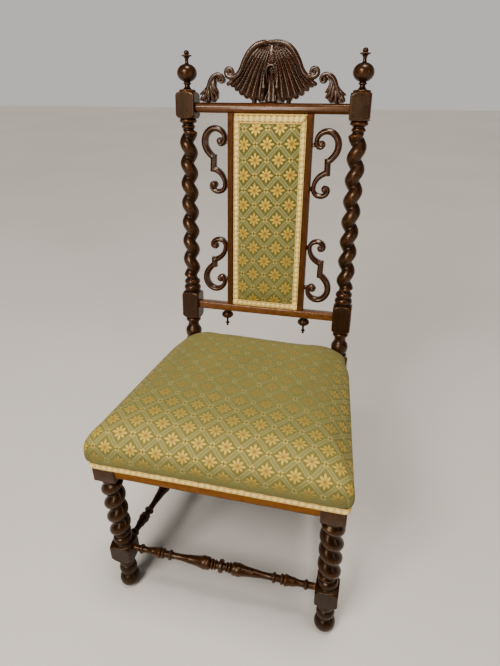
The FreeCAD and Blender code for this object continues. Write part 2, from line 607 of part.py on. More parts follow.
# ------------------------------------------------------------------ panel frame
# scroll brackets: middle of the large curl, of its eye, of the small curl, of its eye
# (distance from the centre line, height along the rake), on the left then mirrored
BRACKETS = {
    "scroll_bracket_upper_left": (-1, (115.0, 511.0), (101.5, 509.5), (108.0, 426.5), (116.4, 425.5)),
    "scroll_bracket_upper_right": (1, (115.0, 509.5), (100.5, 507.0), (107.4, 426.5), (115.6, 424.5)),
    "scroll_bracket_lower_left": (-1, (115.6, 224.5), (101.8, 225.5), (107.0, 297.5), (114.8, 299.0)),
    "scroll_bracket_lower_right": (1, (114.6, 219.5), (99.5, 217.5), (107.2, 306.5), (117.2, 307.5)),
}


def bracket_dowel_sites(name):
    side, big, eye, small, eye2 = BRACKETS[name]
    return [(side, big[1]), (side, small[1])]


def bracket_shape(name):
    side, big, eye, small, eye2 = BRACKETS[name]
    th = d("bracket_thick")
    y0 = -8.0
    R, r, w, e = d("scroll_big"), d("scroll_small"), d("scroll_band"), d("scroll_eye")
    up = 1 if big[1] > small[1] else -1

    def disc(p, rad):
        return Part.makeCylinder(rad, th, V(p[0], y0, p[1]), V(0, 1, 0))

    def slab(x0, x1, z0, z1):
        return box(x0, x1, y0, y0 + th, min(z0, z1), max(z0, z1))

    # large curl: a crescent open towards the panel on the side of the link
    thin = 6.0
    hole = (2 * R - w - thin) / 2
    large = disc(big, R).cut(disc((big[0] + R - w - hole, big[1]), hole))
    large = large.cut(slab(big[0] - R - 1, big[0] - 4.5, big[1] - up * 8.0, big[1] - up * (R + 2)))
    large = large.fuse(disc(eye, e))
    # small curl, reversed: open towards the post on the side of the link
    thin2 = 5.5
    w2 = w - 2.5
    hole2 = (2 * r - w2 - thin2) / 2
    curl = disc(small, r).cut(disc((small[0] - r + w2 + hole2, small[1]), hole2))
    curl = curl.cut(slab(small[0] + 3.5, small[0] + r + 1, small[1] + up * 5.0, small[1] + up * (r + 2)))
    curl = curl.fuse(disc(eye2, e - 1.6))
    # straight link between the two
    link = slab(110.4, 122.6, big[1] - up * (R - 6.0), small[1] + up * (r - 5.0))
    shape = large.fuse([curl, link]).removeSplitter()
    # flats where the curls bed against the stile
    shape = shape.cut(slab(60, d("stile_out"), -50, 700))
    for s, z in bracket_dowel_sites(name):
        x0 = d("stile_out") - 8.0
        shape = shape.cut(rod(d("bracket_dowel_rad"), (x0, 0, z), (x0 + d("bracket_dowel_long"), 0, z)))
        shape = shape.fuse(box(d("stile_out"), d("stile_out") + 3.4, -6, 4, z - 5, z + 5).cut(
            rod(d("bracket_dowel_rad"), (x0, 0, z), (x0 + d("bracket_dowel_long"), 0, z))))
    shape = shape.removeSplitter()
    if side < 0:
        shape = shape.mirror(V(0, 0, 0), V(1, 0, 0))
    return shape


stile = new_body("stile_blank", BACK)
si, so, sl = S("stile_in"), S("stile_out"), S("stile_ledge")
sf, sk_, lf = S("stile_front"), S("stile_back"), S("ledge_front")
tall = S("crest_rail_low") - S("back_rail_high")
pad(stile, "XY_Plane", [(-so, sf), (-si, sf), (-si, lf), (-sl, lf), (-sl, sk_), (-so, sk_)], "stile_bar", tall, False, d("back_rail_high"))
pad(stile, "XY_Plane", rect(-80.5, -67.5, -2.0, 6.0), "stile_tenons", tall + S("stile_tenon") * 2, False, d("back_rail_high") - d("stile_tenon"))
stile_r = new_body("stile_blank_right", BACK)
pad(stile_r, "XY_Plane", [(so, sf), (so, sk_), (sl, sk_), (sl, lf), (si, lf), (si, sf)], "stile_bar_right", tall, False, d("back_rail_high"))
pad(stile_r, "XY_Plane", rect(67.5, 80.5, -2.0, 6.0), "stile_tenons_right", tall + S("stile_tenon") * 2, False, d("back_rail_high") - d("stile_tenon"))
doc.recompute()
site_cut = {-1: [], 1: []}
DOWELS = []
for name in BRACKETS:
    for s, z in bracket_dowel_sites(name):
        p0 = (s * (d("stile_out") - 8.0), 0, z)
        p1 = (s * (d("stile_out") - 8.0 + d("bracket_dowel_long")), 0, z)
        site_cut[s].append(rod(d("bracket_dowel_rad"), p0, p1))
        DOWELS.append((p0, s, z))
node(cut(stile, tools("stile_holes_left", site_cut[-1], BACK), "panel_stile_left"), "panel_stile_left")
node(cut(stile_r, tools("stile_holes_right", site_cut[1], BACK), "panel_stile_right"), "panel_stile_right")

node(plain_box("panel_head_batten", -sl, sl, lf, sk_, S("crest_rail_low") - S("batten_tall"), S("crest_rail_low"), BACK), "panel_head_batten")
node(plain_box("panel_foot_batten", -sl, sl, lf, sk_, S("back_rail_high"), S("back_rail_high") + S("batten_tall"), BACK), "panel_foot_batten")

for name in BRACKETS:
    o = doc.addObject("Part::Feature", name)
    o.Shape = bracket_shape(name)
    o.Placement = BACK
    node(o, name)

# --------------------------------------------------------------------- cresting
SHELL = [(0, 691.0), (18.4, 689.3), (38.4, 683.6), (50.2, 671.4), (59.9, 653.4), (65.4, 639.4), (69.6, 634.4), (73.2, 637.4),
         (73.0, 641.0), (76.4, 645.6), (82.0, 647.4), (88.2, 645.4), (91.6, 640.0), (91.6, 634.0), (89.4, 628.0),
         (90.0, 620.0), (88.6, 613.0), (83.0, 608.8), (78.7, 605.8), (73.0, 603.0), (68.4, 599.4), (62.0, 595.0),
         (57.0, 589.4), (52.0, 587.6), (45.0, 589.4), (38.0, 588.4), (30.0, 586.6), (22.0, 585.4)]
LEAF = [(143.0, 584.3), (146.0, 590.0), (145.0, 600.0), (139.0, 602.6), (133.6, 608.0), (131.0, 615.0), (128.4, 624.0), (122.4, 630.6),
        (114.6, 635.4), (106.0, 637.4), (98.6, 635.0), (93.8, 628.6), (94.4, 621.4), (99.4, 617.0), (104.4, 617.8), (107.0, 614.0),
        (103.6, 608.6), (101.0, 603.4), (105.0, 599.0), (103.0, 593.4), (107.4, 590.6), (113.0, 588.6), (114.0, 584.3)]


def prism(points, y0, y1):
    pts = [V(x, y0, z) for x, z in points]
    return Part.Face(Part.makePolygon(pts + [pts[0]])).extrude(V(0, y1 - y0, 0))


base = d("crest_rail_high")
ring = [(x, z) for x, z in SHELL] + [(22.0, base), (-22.0, base)] + [(-x, z) for x, z in reversed(SHELL[1:])]
shell = prism(ring, -d("crest_thick") + 9.0, 9.0)
for x, y in CREST_DOWELS[:2]:
    # small feet under the shell carry the dowels
    shell = shell.fuse(box(x - 9, x + 9, -7, 7, base, base + 8))
    shell = shell.cut(rod(d("dowel_rad"), (x, y, base - 1), (x, y, base + 13.2)))
o = doc.addObject("Part::Feature", "crest_shell")
o.Shape = shell.removeSplitter()
o.Placement = BACK
node(o, "crest_shell")
for s, name in ((-1, "crest_leaf_left"), (1, "crest_leaf_right")):
    leaf = prism([(s * x, z) for x, z in LEAF], -d("leaf_thick") + 8.0, 8.0)
    leaf = leaf.cut(rod(d("dowel_rad"), (s * 128.0, 1.0, base - 1), (s * 128.0, 1.0, base + 13.2)))
    o = doc.addObject("Part::Feature", name)
    o.Shape = leaf
    o.Placement = BACK
    node(o, name)


def pins(name, rad, sites, length, placement):
    """A group of equal round pins, each a cylinder of its own."""
    links = []
    for i, (p, t) in enumerate(sites):
        cyl = doc.addObject("Part::Cylinder", "%s_%d" % (name, i + 1))
        cyl.Radius = num(rad)
        cyl.Height = num(length)
        bind(cyl, "Radius", rad)
        bind(cyl, "Height", length)
        cyl.Placement = placement.multiply(PLC(V(*p), ROT(V(0, 0, 1), V(*t))))
        links.append(cyl)
    grp = doc.addObject("Part::Compound", name)
    grp.Links = links
    return grp


node(pins("crest_dowels", S("dowel_rad"), [((x, y, base - 13.0), (0, 0, 1)) for x, y in CREST_DOWELS], S("dowel_long"), BACK), "crest_dowels")
node(pins("bracket_dowels", S("bracket_dowel_rad"), [(p, (s, 0, 0)) for p, s, z in DOWELS], S("bracket_dowel_long"), BACK), "bracket_dowels")

# ----------------------------------------------------------------- corner blocks
def corner_block(sx, end):
    z0, z1 = 330.0, 370.0
    g = 0.0
    if end == 0:
        yb = d("front_rail_face") + d("rail_thick")
        half = d("leg_block") / 2
        xi = d("leg_x") - half
        # bears on the front rail, the leg and the side rail
        pts = [(xi - 46, yb), (xi, yb), (xi, half), (side_rail_x(half, False), half), (side_rail_x(66, False), 66.0)]
    else:
        yb = d("rear_rail_face")
        front = d("post_seat_mid") - d("post_seat_block") / 2
        xi = d("post_x") - d("post_seat_block") / 2
        pts = [(xi - 46, yb), (xi, yb), (xi, front), (side_rail_x(front, False), front), (side_rail_x(296, False), 296.0)]
    poly = [V(sx * x, y, z0) for x, y in pts]
    blk = Part.Face(Part.makePolygon(poly + [poly[0]])).extrude(V(0, 0, z1 - z0))
    return blk


screws = corner_screws()
names = [(-1, 0, "corner_block_front_left"), (-1, 1, "corner_block_rear_left"), (1, 0, "corner_block_front_right"), (1, 1, "corner_block_rear_right")]
SCREWS = []
for i, (sx, end, name) in enumerate(names):
    blk = corner_block(sx, end)
    for k in (0, 1):
        p, t = screws[2 * i + k]
        # start each screw on the sloping face of its block
        line = Part.makeLine(p - t * 60, p + t * 60)
        hit = line.common(blk)
        start = min((v.Point for v in hit.Vertexes), key=lambda q: q.dot(t))
        SCREWS.append((start + t * 1.5, t))
        blk = blk.cut(Part.makeCylinder(d("screw_rad"), d("screw_long"), start + t * 1.5, t))
        blk = blk.cut(Part.makeCone(d("screw_head"), d("screw_rad"), 2.4, start + t * 1.5, t))
        blk = blk.cut(Part.makeCylinder(d("screw_head"), 40, start + t * 1.5, t * -1))
    o = doc.addObject("Part::Feature", name)
    o.Shape = blk
    o.Placement = FLOOR
    node(o, name)
o = doc.addObject("Part::Feature", "corner_block_screws")
o.Shape = Part.makeCompound([screw_shape(p, t) for p, t in SCREWS])
o.Placement = FLOOR
node(o, "corner_block_screws")
holes.Shape = Part.makeCompound(tack_cutters() + [screw_shape(p, t) for p, t in SCREWS])
holes.Placement = FLOOR

# ------------------------------------------------------------- seat suspension
straps = []
wt, ww = d("web_thick"), d("web_wide")
y0, y1 = d("front_rail_face") + 2, d("rear_rail_face") + d("rail_thick") - 2
for x in WEB_FB:
    straps.append(box(x - ww / 2, x + ww / 2, y0, y1, WEB_Z - wt, WEB_Z))
for y in WEB_SS:
    xa, xb = side_rail_x(y - ww / 2, True) - 3, side_rail_x(y + ww / 2, True) - 3
    poly = [V(-xa, y - ww / 2, WEB_Z - 2 * wt), V(xa, y - ww / 2, WEB_Z - 2 * wt), V(xb, y + ww / 2, WEB_Z - 2 * wt), V(-xb, y + ww / 2, WEB_Z - 2 * wt)]
    straps.append(Part.Face(Part.makePolygon(poly + [poly[0]])).extrude(V(0, 0, wt)))
tc = Part.makeCompound(tack_cutters())
o = doc.addObject("Part::Feature", "seat_webbing")
o.Shape = Part.makeCompound([s.cut(tc).Solids[0] for s in straps])
o.Placement = FLOOR
node(o, "seat_webbing")

tacks = []
for x, y in TACKS:
    z = tack_low(x, y)
    tacks.append(rod(d("tack_rad"), (x, y, z), (x, y, z + d("tack_long"))).fuse(rod(d("tack_head"), (x, y, z - 0.9), (x, y, z))).removeSplitter())
o = doc.addObject("Part::Feature", "webbing_tacks")
o.Shape = Part.makeCompound(tacks)
o.Placement = FLOOR
node(o, "webbing_tacks")


def coil(x, y, low, high):
    """Waisted upholstery spring, a round wire on a double-cone helix."""
    turns, big, waist, wire = d("spring_turns"), d("spring_rad"), d("spring_waist"), d("spring_wire") / 2
    n = int(turns * 14)
    pts = []
    for i in range(n + 1):
        f = i / n
        rad = waist + (big - waist) * (2 * f - 1) ** 2
        ang = 2 * math.pi * turns * f
        pts.append(V(x + rad * math.cos(ang), y + rad * math.sin(ang), low + wire + (high - low - 2 * wire) * f))
    path = Part.BSplineCurve()
    path.interpolate(pts)
    t = path.tangent(path.FirstParameter)[0]
    sec = Part.Wire([Part.makeCircle(wire, pts[0], t)])
    sweep = Part.BRepOffsetAPI.MakePipeShell(Part.Wire([path.toShape()]))
    sweep.setFrenetMode(True)
    sweep.add(sec, False, False)
    sweep.build()
    sweep.makeSolid()
    return sweep.shape()


SPRINGS = [(-92, 95), (92, 95), (0, 185), (-80, 275), (80, 275)]
o = doc.addObject("Part::Feature", "seat_springs")
o.Shape = Part.makeCompound([coil(x, y, WEB_Z, d("hessian_top") - d("hessian_thick") - 0.2) for x, y in SPRINGS])
o.Placement = FLOOR
node(o, "seat_springs")


def ring_at(pts, z):
    vs = [V(x, y, z) for x, y in pts]
    return Part.makePolygon(vs + [vs[0]])


def inner_frame(off):
    """Opening inside the seat rails, grown by an amount."""
    yf_, yr_ = d("front_rail_face") + d("rail_thick") - off, d("rear_rail_face") + off
    return [(-190.0 - off, yf_), (190.0 + off, yf_), (150.0 + off, yr_), (-150.0 - off, yr_)]


def hessian_tent(grow, drop):
    low = d("rail_high")
    ht = d("hessian_top")
    return Part.makeLoft([ring_at(inner_frame(-4.0 + grow), low), ring_at(inner_frame(-34.0 + grow), ht - drop)], True, True)


ht = d("hessian_thick")
flange = Part.Face(ring_at([(-196.0, -8.0), (196.0, -8.0), (163.0, 345.0), (148.0, 345.0), (148.0, 374.0), (-148.0, 374.0), (-148.0, 345.0), (-163.0, 345.0)],
                           d("rail_high"))).extrude(V(0, 0, ht))
tent_out = hessian_tent(0.0, 0.0)
tent_in = hessian_tent(-ht, ht)
sack = flange.fuse(tent_out).cut(tent_in).removeSplitter()
o = doc.addObject("Part::Feature", "spring_hessian")
o.Shape = sack
o.Placement = FLOOR
node(o, "spring_hessian")

cloth = Part.Face(ring_at([(-182.0, -14.0), (182.0, -14.0), (182.0, 28.0), (214.0, 28.0), (184.0, 344.0), (147.0, 344.0), (147.0, 378.0),
                           (-147.0, 378.0), (-147.0, 344.0), (-184.0, 344.0), (-214.0, 28.0), (-182.0, 28.0)],
                          WEB_Z - 2 * wt - 2.0)).extrude(V(0, 0, d("cloth_thick")))
o = doc.addObject("Part::Feature", "seat_bottom_cloth")
o.Shape = cloth
o.Placement = FLOOR
node(o, "seat_bottom_cloth")


# ------------------------------------------------------------------- seat stuffing
def plan(off, corner):
    """Outline of the stuffed seat, grown from the frame by an amount."""
    yf_, yr_ = -d("leg_block") / 2 - off, d("rear_rail_face") + d("rail_thick") + off
    edge = d("leg_x") + d("leg_block") / 2 + 2.4
    sl_ = 0.1105

    def xs(y):
        return edge + off - sl_ * (y + d("leg_block") / 2)

    k = max(corner, 2.0)
    pts = [(-xs(yf_) + k, yf_), (xs(yf_) - k, yf_), (xs(yf_ + k), yf_ + k), (xs(yr_ - 2 * k), yr_ - 2 * k),
           (xs(yr_) - 2 * k, yr_), (-xs(yr_) + 2 * k, yr_), (-xs(yr_ - 2 * k), yr_ - 2 * k), (-xs(yf_ + k), yf_ + k)]
    return pts


LEVELS = [(d("gimp_high"), 2.8, 9), (362.0, 6.4, 10), (375.0, 8.2, 11), (398.0, 7.6, 12), (412.0, 1.0, 16), (424.0, -14.0, 22), (433.0, -36.0, 28), (440.0, -74.0, 30), (443.0, -112.0, 26)]


def dome(shrink):
    rings_ = []
    for i, (z, off, k) in enumerate(LEVELS):
        zz = z if i == 0 else z - shrink * (0.0 if i < 4 else 1.0)
        rings_.append(ring_at(plan(off - shrink, k), zz))
    return Part.makeLoft(rings_, True, True)


sb2 = d("post_seat_block") / 2 + 0.4
notch = []
for sx in (-1, 1):
    x0, x1 = sorted((sx * (d("post_x") - sb2), sx * (d("post_x") + 90)))
    notch.append(box(x0, x1, d("post_seat_mid") - sb2, d("post_seat_mid") + 60, 340, 470))
    # the raked turning above the seat block leans back, so the notch is widened there
frame_block = Part.Face(ring_at([(-230.3, -21.8), (230.3, -21.8), (230.3, 21.8), (191.5, 352.5), (191.5, 383.5), (-191.5, 383.5), (-191.5, 352.5), (-230.3, 21.8)],
                                330.0)).extrude(V(0, 0, d("rail_high") - 330.0))
ct = d("cover_thick")
outer = dome(0.0)
inner = dome(ct)
below = box(-300, 300, -100, 500, 340, LEVELS[0][0] + ct)
core = inner.cut(below)
solid_cover = outer.cut(core)
for s in [frame_block] + notch:
    solid_cover = solid_cover.cut(s)
o = doc.addObject("Part::Feature", "seat_cover")
o.Shape = solid_cover.removeSplitter()
o.Placement = FLOOR
node(o, "seat_cover")

stuffing = dome(ct + 0.3).cut(box(-300, 300, -100, 500, 340, LEVELS[0][0] + ct + 0.3))
gap_frame = Part.Face(ring_at([(-230.6, -22.1), (230.6, -22.1), (230.6, 21.9), (191.8, 352.8), (191.8, 383.8), (-191.8, 383.8), (-191.8, 352.8), (-230.6, 21.9)],
                              330.0)).extrude(V(0, 0, d("rail_high") + ht + 0.2 - 330.0))
stuffing = stuffing.cut(gap_frame).cut(Part.makeLoft([ring_at(inner_frame(-3.6), d("rail_high")), ring_at(inner_frame(-33.6), d("hessian_top") + 0.3)], True, True))
for s in notch:
    stuffing = stuffing.cut(s)
o = doc.addObject("Part::Feature", "seat_stuffing")
o.Shape = stuffing.removeSplitter()
o.Placement = FLOOR
node(o, "seat_stuffing")

# braid along the lower edge of the seat cover
gl, gh, gt = d("gimp_low"), d("gimp_high"), d("gimp_thick")
F_IN = [(-230.3, 352.5 - 1.0), (-230.3, 21.8), (-230.3, -21.8), (230.3, -21.8), (230.3, 21.8)]
u_out = [(191.5 + gt, 351.5), (230.3 + gt, 21.8), (230.3 + gt, -21.8 - gt), (-230.3 - gt, -21.8 - gt), (-230.3 - gt, 21.8), (-191.5 - gt, 351.5)]
u_in = [(-191.5, 351.5), (-230.3, 21.8), (-230.3, -21.8), (230.3, -21.8), (230.3, 21.8), (191.5, 351.5)]
band = Part.Face(ring_at(u_out + u_in, gl)).extrude(V(0, 0, gh - gl))
tail = box(-150.5, 150.5, 383.5, 383.5 + gt, gl, gh)
o = doc.addObject("Part::Feature", "seat_gimp")
o.Shape = Part.makeCompound([band, tail])
o.Placement = FLOOR
node(o, "seat_gimp")

# ------------------------------------------------------------------- back panel
lo3, hi3 = d("back_rail_high"), d("crest_rail_low")
node(plain_box("back_hessian", -si + 0.4, si - 0.4, lf - 1.0, lf, S("back_rail_high") + 0.4, S("crest_rail_low") - 0.4, BACK), "back_hessian")
pg, pgt, pgk = d("panel_gimp"), d("panel_gimp_top"), d("panel_gimp_thick")
px = d("stile_in") - pg - 0.6
pz0, pz1 = lo3 + pg + 0.6, hi3 - pgt - 0.6
front = d("ledge_front") - 1.0


def soft_slab(x, z0, z1, y_back, thick, roll):
    """Slab crowned towards the sitter."""
    lvls = [(0.0, 0.0), (0.55, 0.0), (0.85, roll * 0.4), (1.0, roll)]
    ws = []
    for f, r in lvls:
        y = y_back - thick * f
        vs = [V(-x + r, y, z0 + r), V(x - r, y, z0 + r), V(x - r, y, z1 - r), V(-x + r, y, z1 - r)]
        ws.append(Part.makePolygon(vs + [vs[0]]))
    return Part.makeLoft(ws, True, True)


wad = soft_slab(px - 1.4, pz0 + 1.4, pz1 - 1.4, front - 0.2, d("pad_thick"), 9.0)
o = doc.addObject("Part::Feature", "back_padding")
o.Shape = wad
o.Placement = BACK
node(o, "back_padding")
hollow = soft_slab(px - 1.0, pz0 + 1.0, pz1 - 1.0, front, d("pad_thick") + 0.5, 9.0)
skin = soft_slab(px, pz0, pz1, front, d("pad_thick") + 1.5, 9.0).cut(hollow)
edge_flat = box(-d("stile_in") + 0.4, d("stile_in") - 0.4, front - 1.0, front, lo3 + 0.4, hi3 - 0.4).cut(
    box(-px + 0.5, px - 0.5, front - 2, front + 1, pz0 + 0.5, pz1 - 0.5))
o = doc.addObject("Part::Feature", "back_cover")
o.Shape = skin.fuse(edge_flat).removeSplitter()
o.Placement = BACK
node(o, "back_cover")
ring_b = box(-d("stile_in") + 0.2, d("stile_in") - 0.2, front - 1.0 - pgk, front - 1.0, lo3 + 0.2, hi3 - 0.2).cut(
    box(-px - 0.2, px + 0.2, front - 9, front, pz0 - 0.2, pz1 + 0.2))
o = doc.addObject("Part::Feature", "back_gimp")
o.Shape = ring_b
o.Placement = BACK
node(o, "back_gimp")
kb = S("stile_back")
node(plain_box("outside_back_cover", -so + 3.0, so - 3.0, kb, kb + 1.0, S("back_rail_high") + 0.4, S("crest_rail_low") - 0.4, BACK), "outside_back_cover")
rb = d("stile_back") + 1.0
xo = d("stile_out") - 3.0
o = doc.addObject("Part::Feature", "outside_back_gimp")
o.Shape = box(-xo, xo, rb, rb + 2.0, lo3 + 0.4, hi3 - 0.4).cut(box(-xo + 9, xo - 9, rb - 1, rb + 3, lo3 + 9.4, hi3 - 9.4))
o.Placement = BACK
node(o, "outside_back_gimp")

# --------------------------------------------------------------------- write out
doc.recompute()
for obj in doc.Objects:
    bad = [s for s in obj.State if s in ("Invalid", "Error")]
    if bad:
        raise RuntimeError("%s is %s" % (obj.Label, ",".join(bad)))
os.makedirs("parts", exist_ok=True)
for old in os.listdir("parts"):
    if old.endswith(".step"):
        os.remove(os.path.join("parts", old))
total = FreeCAD.BoundBox()
for name, obj in NODES:
    shape = obj.Shape
    if shape.isNull() or not shape.isValid() or shape.Volume <= 0:
        raise RuntimeError("bad shape: %s" % name)
    shape.exportStep("parts/%s.step" % name)
    print("%-28s solids %2d  volume %10.0f" % (name, len(shape.Solids), shape.Volume))
print(len(NODES), "nodes written")
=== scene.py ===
import math

import bmesh
import bpy
import numpy as np
from mathutils import Matrix, Vector


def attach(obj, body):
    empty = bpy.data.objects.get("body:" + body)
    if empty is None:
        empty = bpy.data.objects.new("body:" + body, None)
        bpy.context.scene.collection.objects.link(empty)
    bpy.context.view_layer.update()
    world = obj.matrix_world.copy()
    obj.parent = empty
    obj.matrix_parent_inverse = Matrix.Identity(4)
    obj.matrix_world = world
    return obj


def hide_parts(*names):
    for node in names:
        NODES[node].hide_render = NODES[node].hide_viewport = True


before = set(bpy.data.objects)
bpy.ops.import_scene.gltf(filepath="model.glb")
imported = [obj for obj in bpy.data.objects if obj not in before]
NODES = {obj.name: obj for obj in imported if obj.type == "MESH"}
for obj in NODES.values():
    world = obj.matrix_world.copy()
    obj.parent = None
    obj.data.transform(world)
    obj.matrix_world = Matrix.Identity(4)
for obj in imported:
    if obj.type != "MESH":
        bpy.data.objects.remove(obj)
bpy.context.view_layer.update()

MM = 0.001
RAKE = math.radians(7.198)
CR, SR = math.cos(RAKE), math.sin(RAKE)
OY = 219.65          # front leg axes to the middle of the footprint
RNG = np.random.default_rng(7)


# ------------------------------------------------------------------ frames
def back(p):
    """Raked frame of the back (x, depth rearwards, height along the rake), mm, to metres."""
    p = np.asarray(p, float)
    x, d, s = p[..., 0], p[..., 1], p[..., 2]
    return np.stack([x, 150.32 + d * CR + s * SR, 330.0 - d * SR + s * CR], -1) * MM


def floor(p):
    """Floor frame with its origin between the front legs, mm, to metres."""
    p = np.asarray(p, float)
    return np.stack([p[..., 0], p[..., 1] - OY, p[..., 2]], -1) * MM


def smooth01(x, lo, hi):
    t = np.clip((np.asarray(x, float) - lo) / (hi - lo), 0, 1)
    return t * t * (3 - 2 * t)


# ------------------------------------------------------------------ meshes
def quads(nu, nv, wrap_u=False, wrap_v=False, base=0):
    idx = np.arange(nu * nv).reshape(nu, nv) + base
    a = idx if wrap_u else idx[:-1]
    b = np.roll(idx, -1, 0) if wrap_u else idx[1:]
    if wrap_v:
        a2, b2 = np.roll(a, -1, 1), np.roll(b, -1, 1)
    else:
        a, a2, b, b2 = a[:, :-1], a[:, 1:], b[:, :-1], b[:, 1:]
    return np.stack([a, a2, b2, b], -1).reshape(-1, 4).tolist()


def tube_mesh(rings):
    """Closed skin over rings of equal count, each (n, 3), with a fan at both ends."""
    rings = np.asarray(rings, float)
    nu, nv = rings.shape[:2]
    verts = rings.reshape(-1, 3)
    faces = quads(nu, nv, False, True)
    c0, c1 = rings[0].mean(0), rings[-1].mean(0)
    verts = np.vstack([verts, c0, c1])
    i0, i1 = nu * nv, nu * nv + 1
    last = (nu - 1) * nv
    for j in range(nv):
        k = (j + 1) % nv
        faces.append([i0, k, j])
        faces.append([i1, last + j, last + k])
    return verts, faces


def join(parts):
    verts, faces, n = [], [], 0
    for v, f in parts:
        v = np.asarray(v, float)
        verts.append(v)
        faces += [[i + n for i in q] for q in f]
        n += len(v)
    return np.vstack(verts), faces


def convexity(me, rounds, scale):
    """How far each point stands proud of its smoothed surroundings, as 0 to 1."""
    n = len(me.vertices)
    co = np.zeros(n * 3)
    me.vertices.foreach_get("co", co)
    co = co.reshape(-1, 3)
    ed = np.zeros(len(me.edges) * 2, np.int64)
    me.edges.foreach_get("vertices", ed)
    ed = ed.reshape(-1, 2)
    nor = np.zeros(n * 3)
    me.vertices.foreach_get("normal", nor)
    nor = nor.reshape(-1, 3)
    deg = np.bincount(ed.ravel(), minlength=n).astype(float)
    deg[deg == 0] = 1
    sm = co.copy()
    for _ in range(rounds):
        acc = np.zeros_like(sm)
        for k in range(3):
            acc[:, k] = (np.bincount(ed[:, 0], sm[ed[:, 1], k], n) + np.bincount(ed[:, 1], sm[ed[:, 0], k], n)) / deg
        sm = 0.4 * sm + 0.6 * acc
    return np.clip(0.5 + ((co - sm) * nor).sum(1) / (scale * MM), 0, 1)


def put_attribute(me, name, values):
    values = np.asarray(values, np.float32)
    if values.ndim == 2:
        at = me.attributes.new(name, "FLOAT_VECTOR", "POINT")
        at.data.foreach_set("vector", values.ravel())
    else:
        at = me.attributes.new(name, "FLOAT", "POINT")
        at.data.foreach_set("value", values)


def make(name, verts, faces, mat, nodes=(), sharp=35.0, grain=None, wear_and_shade=None, attrs=None, recalc=True):
    """A piece of the chair: metres, riding on the one body, standing for its CAD nodes."""
    me = bpy.data.meshes.new(name)
    me.from_pydata(np.asarray(verts, float).tolist(), [], faces)
    me.update()
    if recalc:
        bm = bmesh.new()
        bm.from_mesh(me)
        bmesh.ops.recalc_face_normals(bm, faces=bm.faces)
        bm.to_mesh(me)
        bm.free()
    me.polygons.foreach_set("use_smooth", np.ones(len(me.polygons), bool))
    if sharp:
        me.set_sharp_from_angle(angle=math.radians(sharp))
    if grain is not None:
        put_attribute(me, "gco", np.asarray(grain, float) + RNG.uniform(0, 900, 3))
    if wear_and_shade is not None:
        put_attribute(me, "wear_and_shade", convexity(me, wear_and_shade[0], wear_and_shade[1]))
    for key, val in (attrs or {}).items():
        put_attribute(me, key, val)
    ob = bpy.data.objects.new(name, me)
    bpy.context.scene.collection.objects.link(ob)
    me.materials.append(mat)
    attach(ob, "root")
    if nodes:
        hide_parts(*nodes)
    return ob


def arcs(points, step=0.8):
    """(radius, height, sagitta to the next point) to a dense polyline of (radius, height)."""
    out = []
    for p, q in zip(points[:-1], points[1:]):
        a, b = np.array(p[:2], float), np.array(q[:2], float)
        sag = p[2] if len(p) > 2 else 0.0
        c = np.linalg.norm(b - a)
        if c < 1e-6:
            continue
        if abs(sag) < 1e-6:
            n = max(1, int(c / 6.0))
            for i in range(n):
                out.append(a + (b - a) * i / n)
            continue
        t = (b - a) / c
        nrm = np.array([t[1], -t[0]]) * np.sign(sag)
        s = abs(sag)
        rad = (c * c / 4 + s * s) / (2 * s)
        ctr = (a + b) / 2 - nrm * (rad - s)
        half = math.asin(min(1.0, c / 2 / rad))
        if s > rad:
            half = math.pi - half
        n = max(5, int(2 * half * rad / step))
        for i in range(n):
            w = -half + 2 * half * i / n
            out.append(ctr + rad * (nrm * math.cos(w) + t * math.sin(w)))
    out.append(np.array(points[-1][:2], float))
    return np.array(out)


def spline(pts, n, closed=False):
    """Centripetal Catmull-Rom through points, n samples at equal arc length."""
    P = np.asarray(pts, float)
    if closed:
        P = np.vstack([P[-1], P, P[0], P[1]])
    else:
        P = np.vstack([2 * P[0] - P[1], P, 2 * P[-1] - P[-2]])
    out = []
    for i in range(1, len(P) - 2):
        p0, p1, p2, p3 = P[i - 1:i + 3]
        t0 = 0.0
        t1 = t0 + max(np.linalg.norm((p1 - p0)[:2]), 1e-6) ** 0.5
        t2 = t1 + max(np.linalg.norm((p2 - p1)[:2]), 1e-6) ** 0.5
        t3 = t2 + max(np.linalg.norm((p3 - p2)[:2]), 1e-6) ** 0.5
        t = np.linspace(t1, t2, 24, endpoint=False)[:, None]
        a1 = (t1 - t) / (t1 - t0) * p0 + (t - t0) / (t1 - t0) * p1
        a2 = (t2 - t) / (t2 - t1) * p1 + (t - t1) / (t2 - t1) * p2
        a3 = (t3 - t) / (t3 - t2) * p2 + (t - t2) / (t3 - t2) * p3
        b1 = (t2 - t) / (t2 - t0) * a1 + (t - t0) / (t2 - t0) * a2
        b2 = (t3 - t) / (t3 - t1) * a2 + (t - t1) / (t3 - t1) * a3
        out.append((t2 - t) / (t2 - t1) * b1 + (t - t1) / (t2 - t1) * b2)
    out = np.vstack(out + [P[-2][None]])
    ln = np.concatenate([[0], np.cumsum(np.linalg.norm(np.diff(out[:, :2], axis=0), axis=1))])
    w = np.linspace(0, ln[-1], n)
    return np.stack([np.interp(w, ln, out[:, k]) for k in range(out.shape[1])], 1)


# --------------------------------------------------------------- materials
class Wire:
    """A socket in a node tree, with arithmetic that adds nodes."""

    def __init__(self, tree, sock):
        self.tree, self.sock = tree, sock

    def __add__(self, o): return self.tree.math("ADD", self, o)
    def __radd__(self, o): return self.tree.math("ADD", o, self)
    def __sub__(self, o): return self.tree.math("SUBTRACT", self, o)
    def __rsub__(self, o): return self.tree.math("SUBTRACT", o, self)
    def __mul__(self, o): return self.tree.math("MULTIPLY", self, o)
    def __rmul__(self, o): return self.tree.math("MULTIPLY", o, self)
    def __truediv__(self, o): return self.tree.math("DIVIDE", self, o)


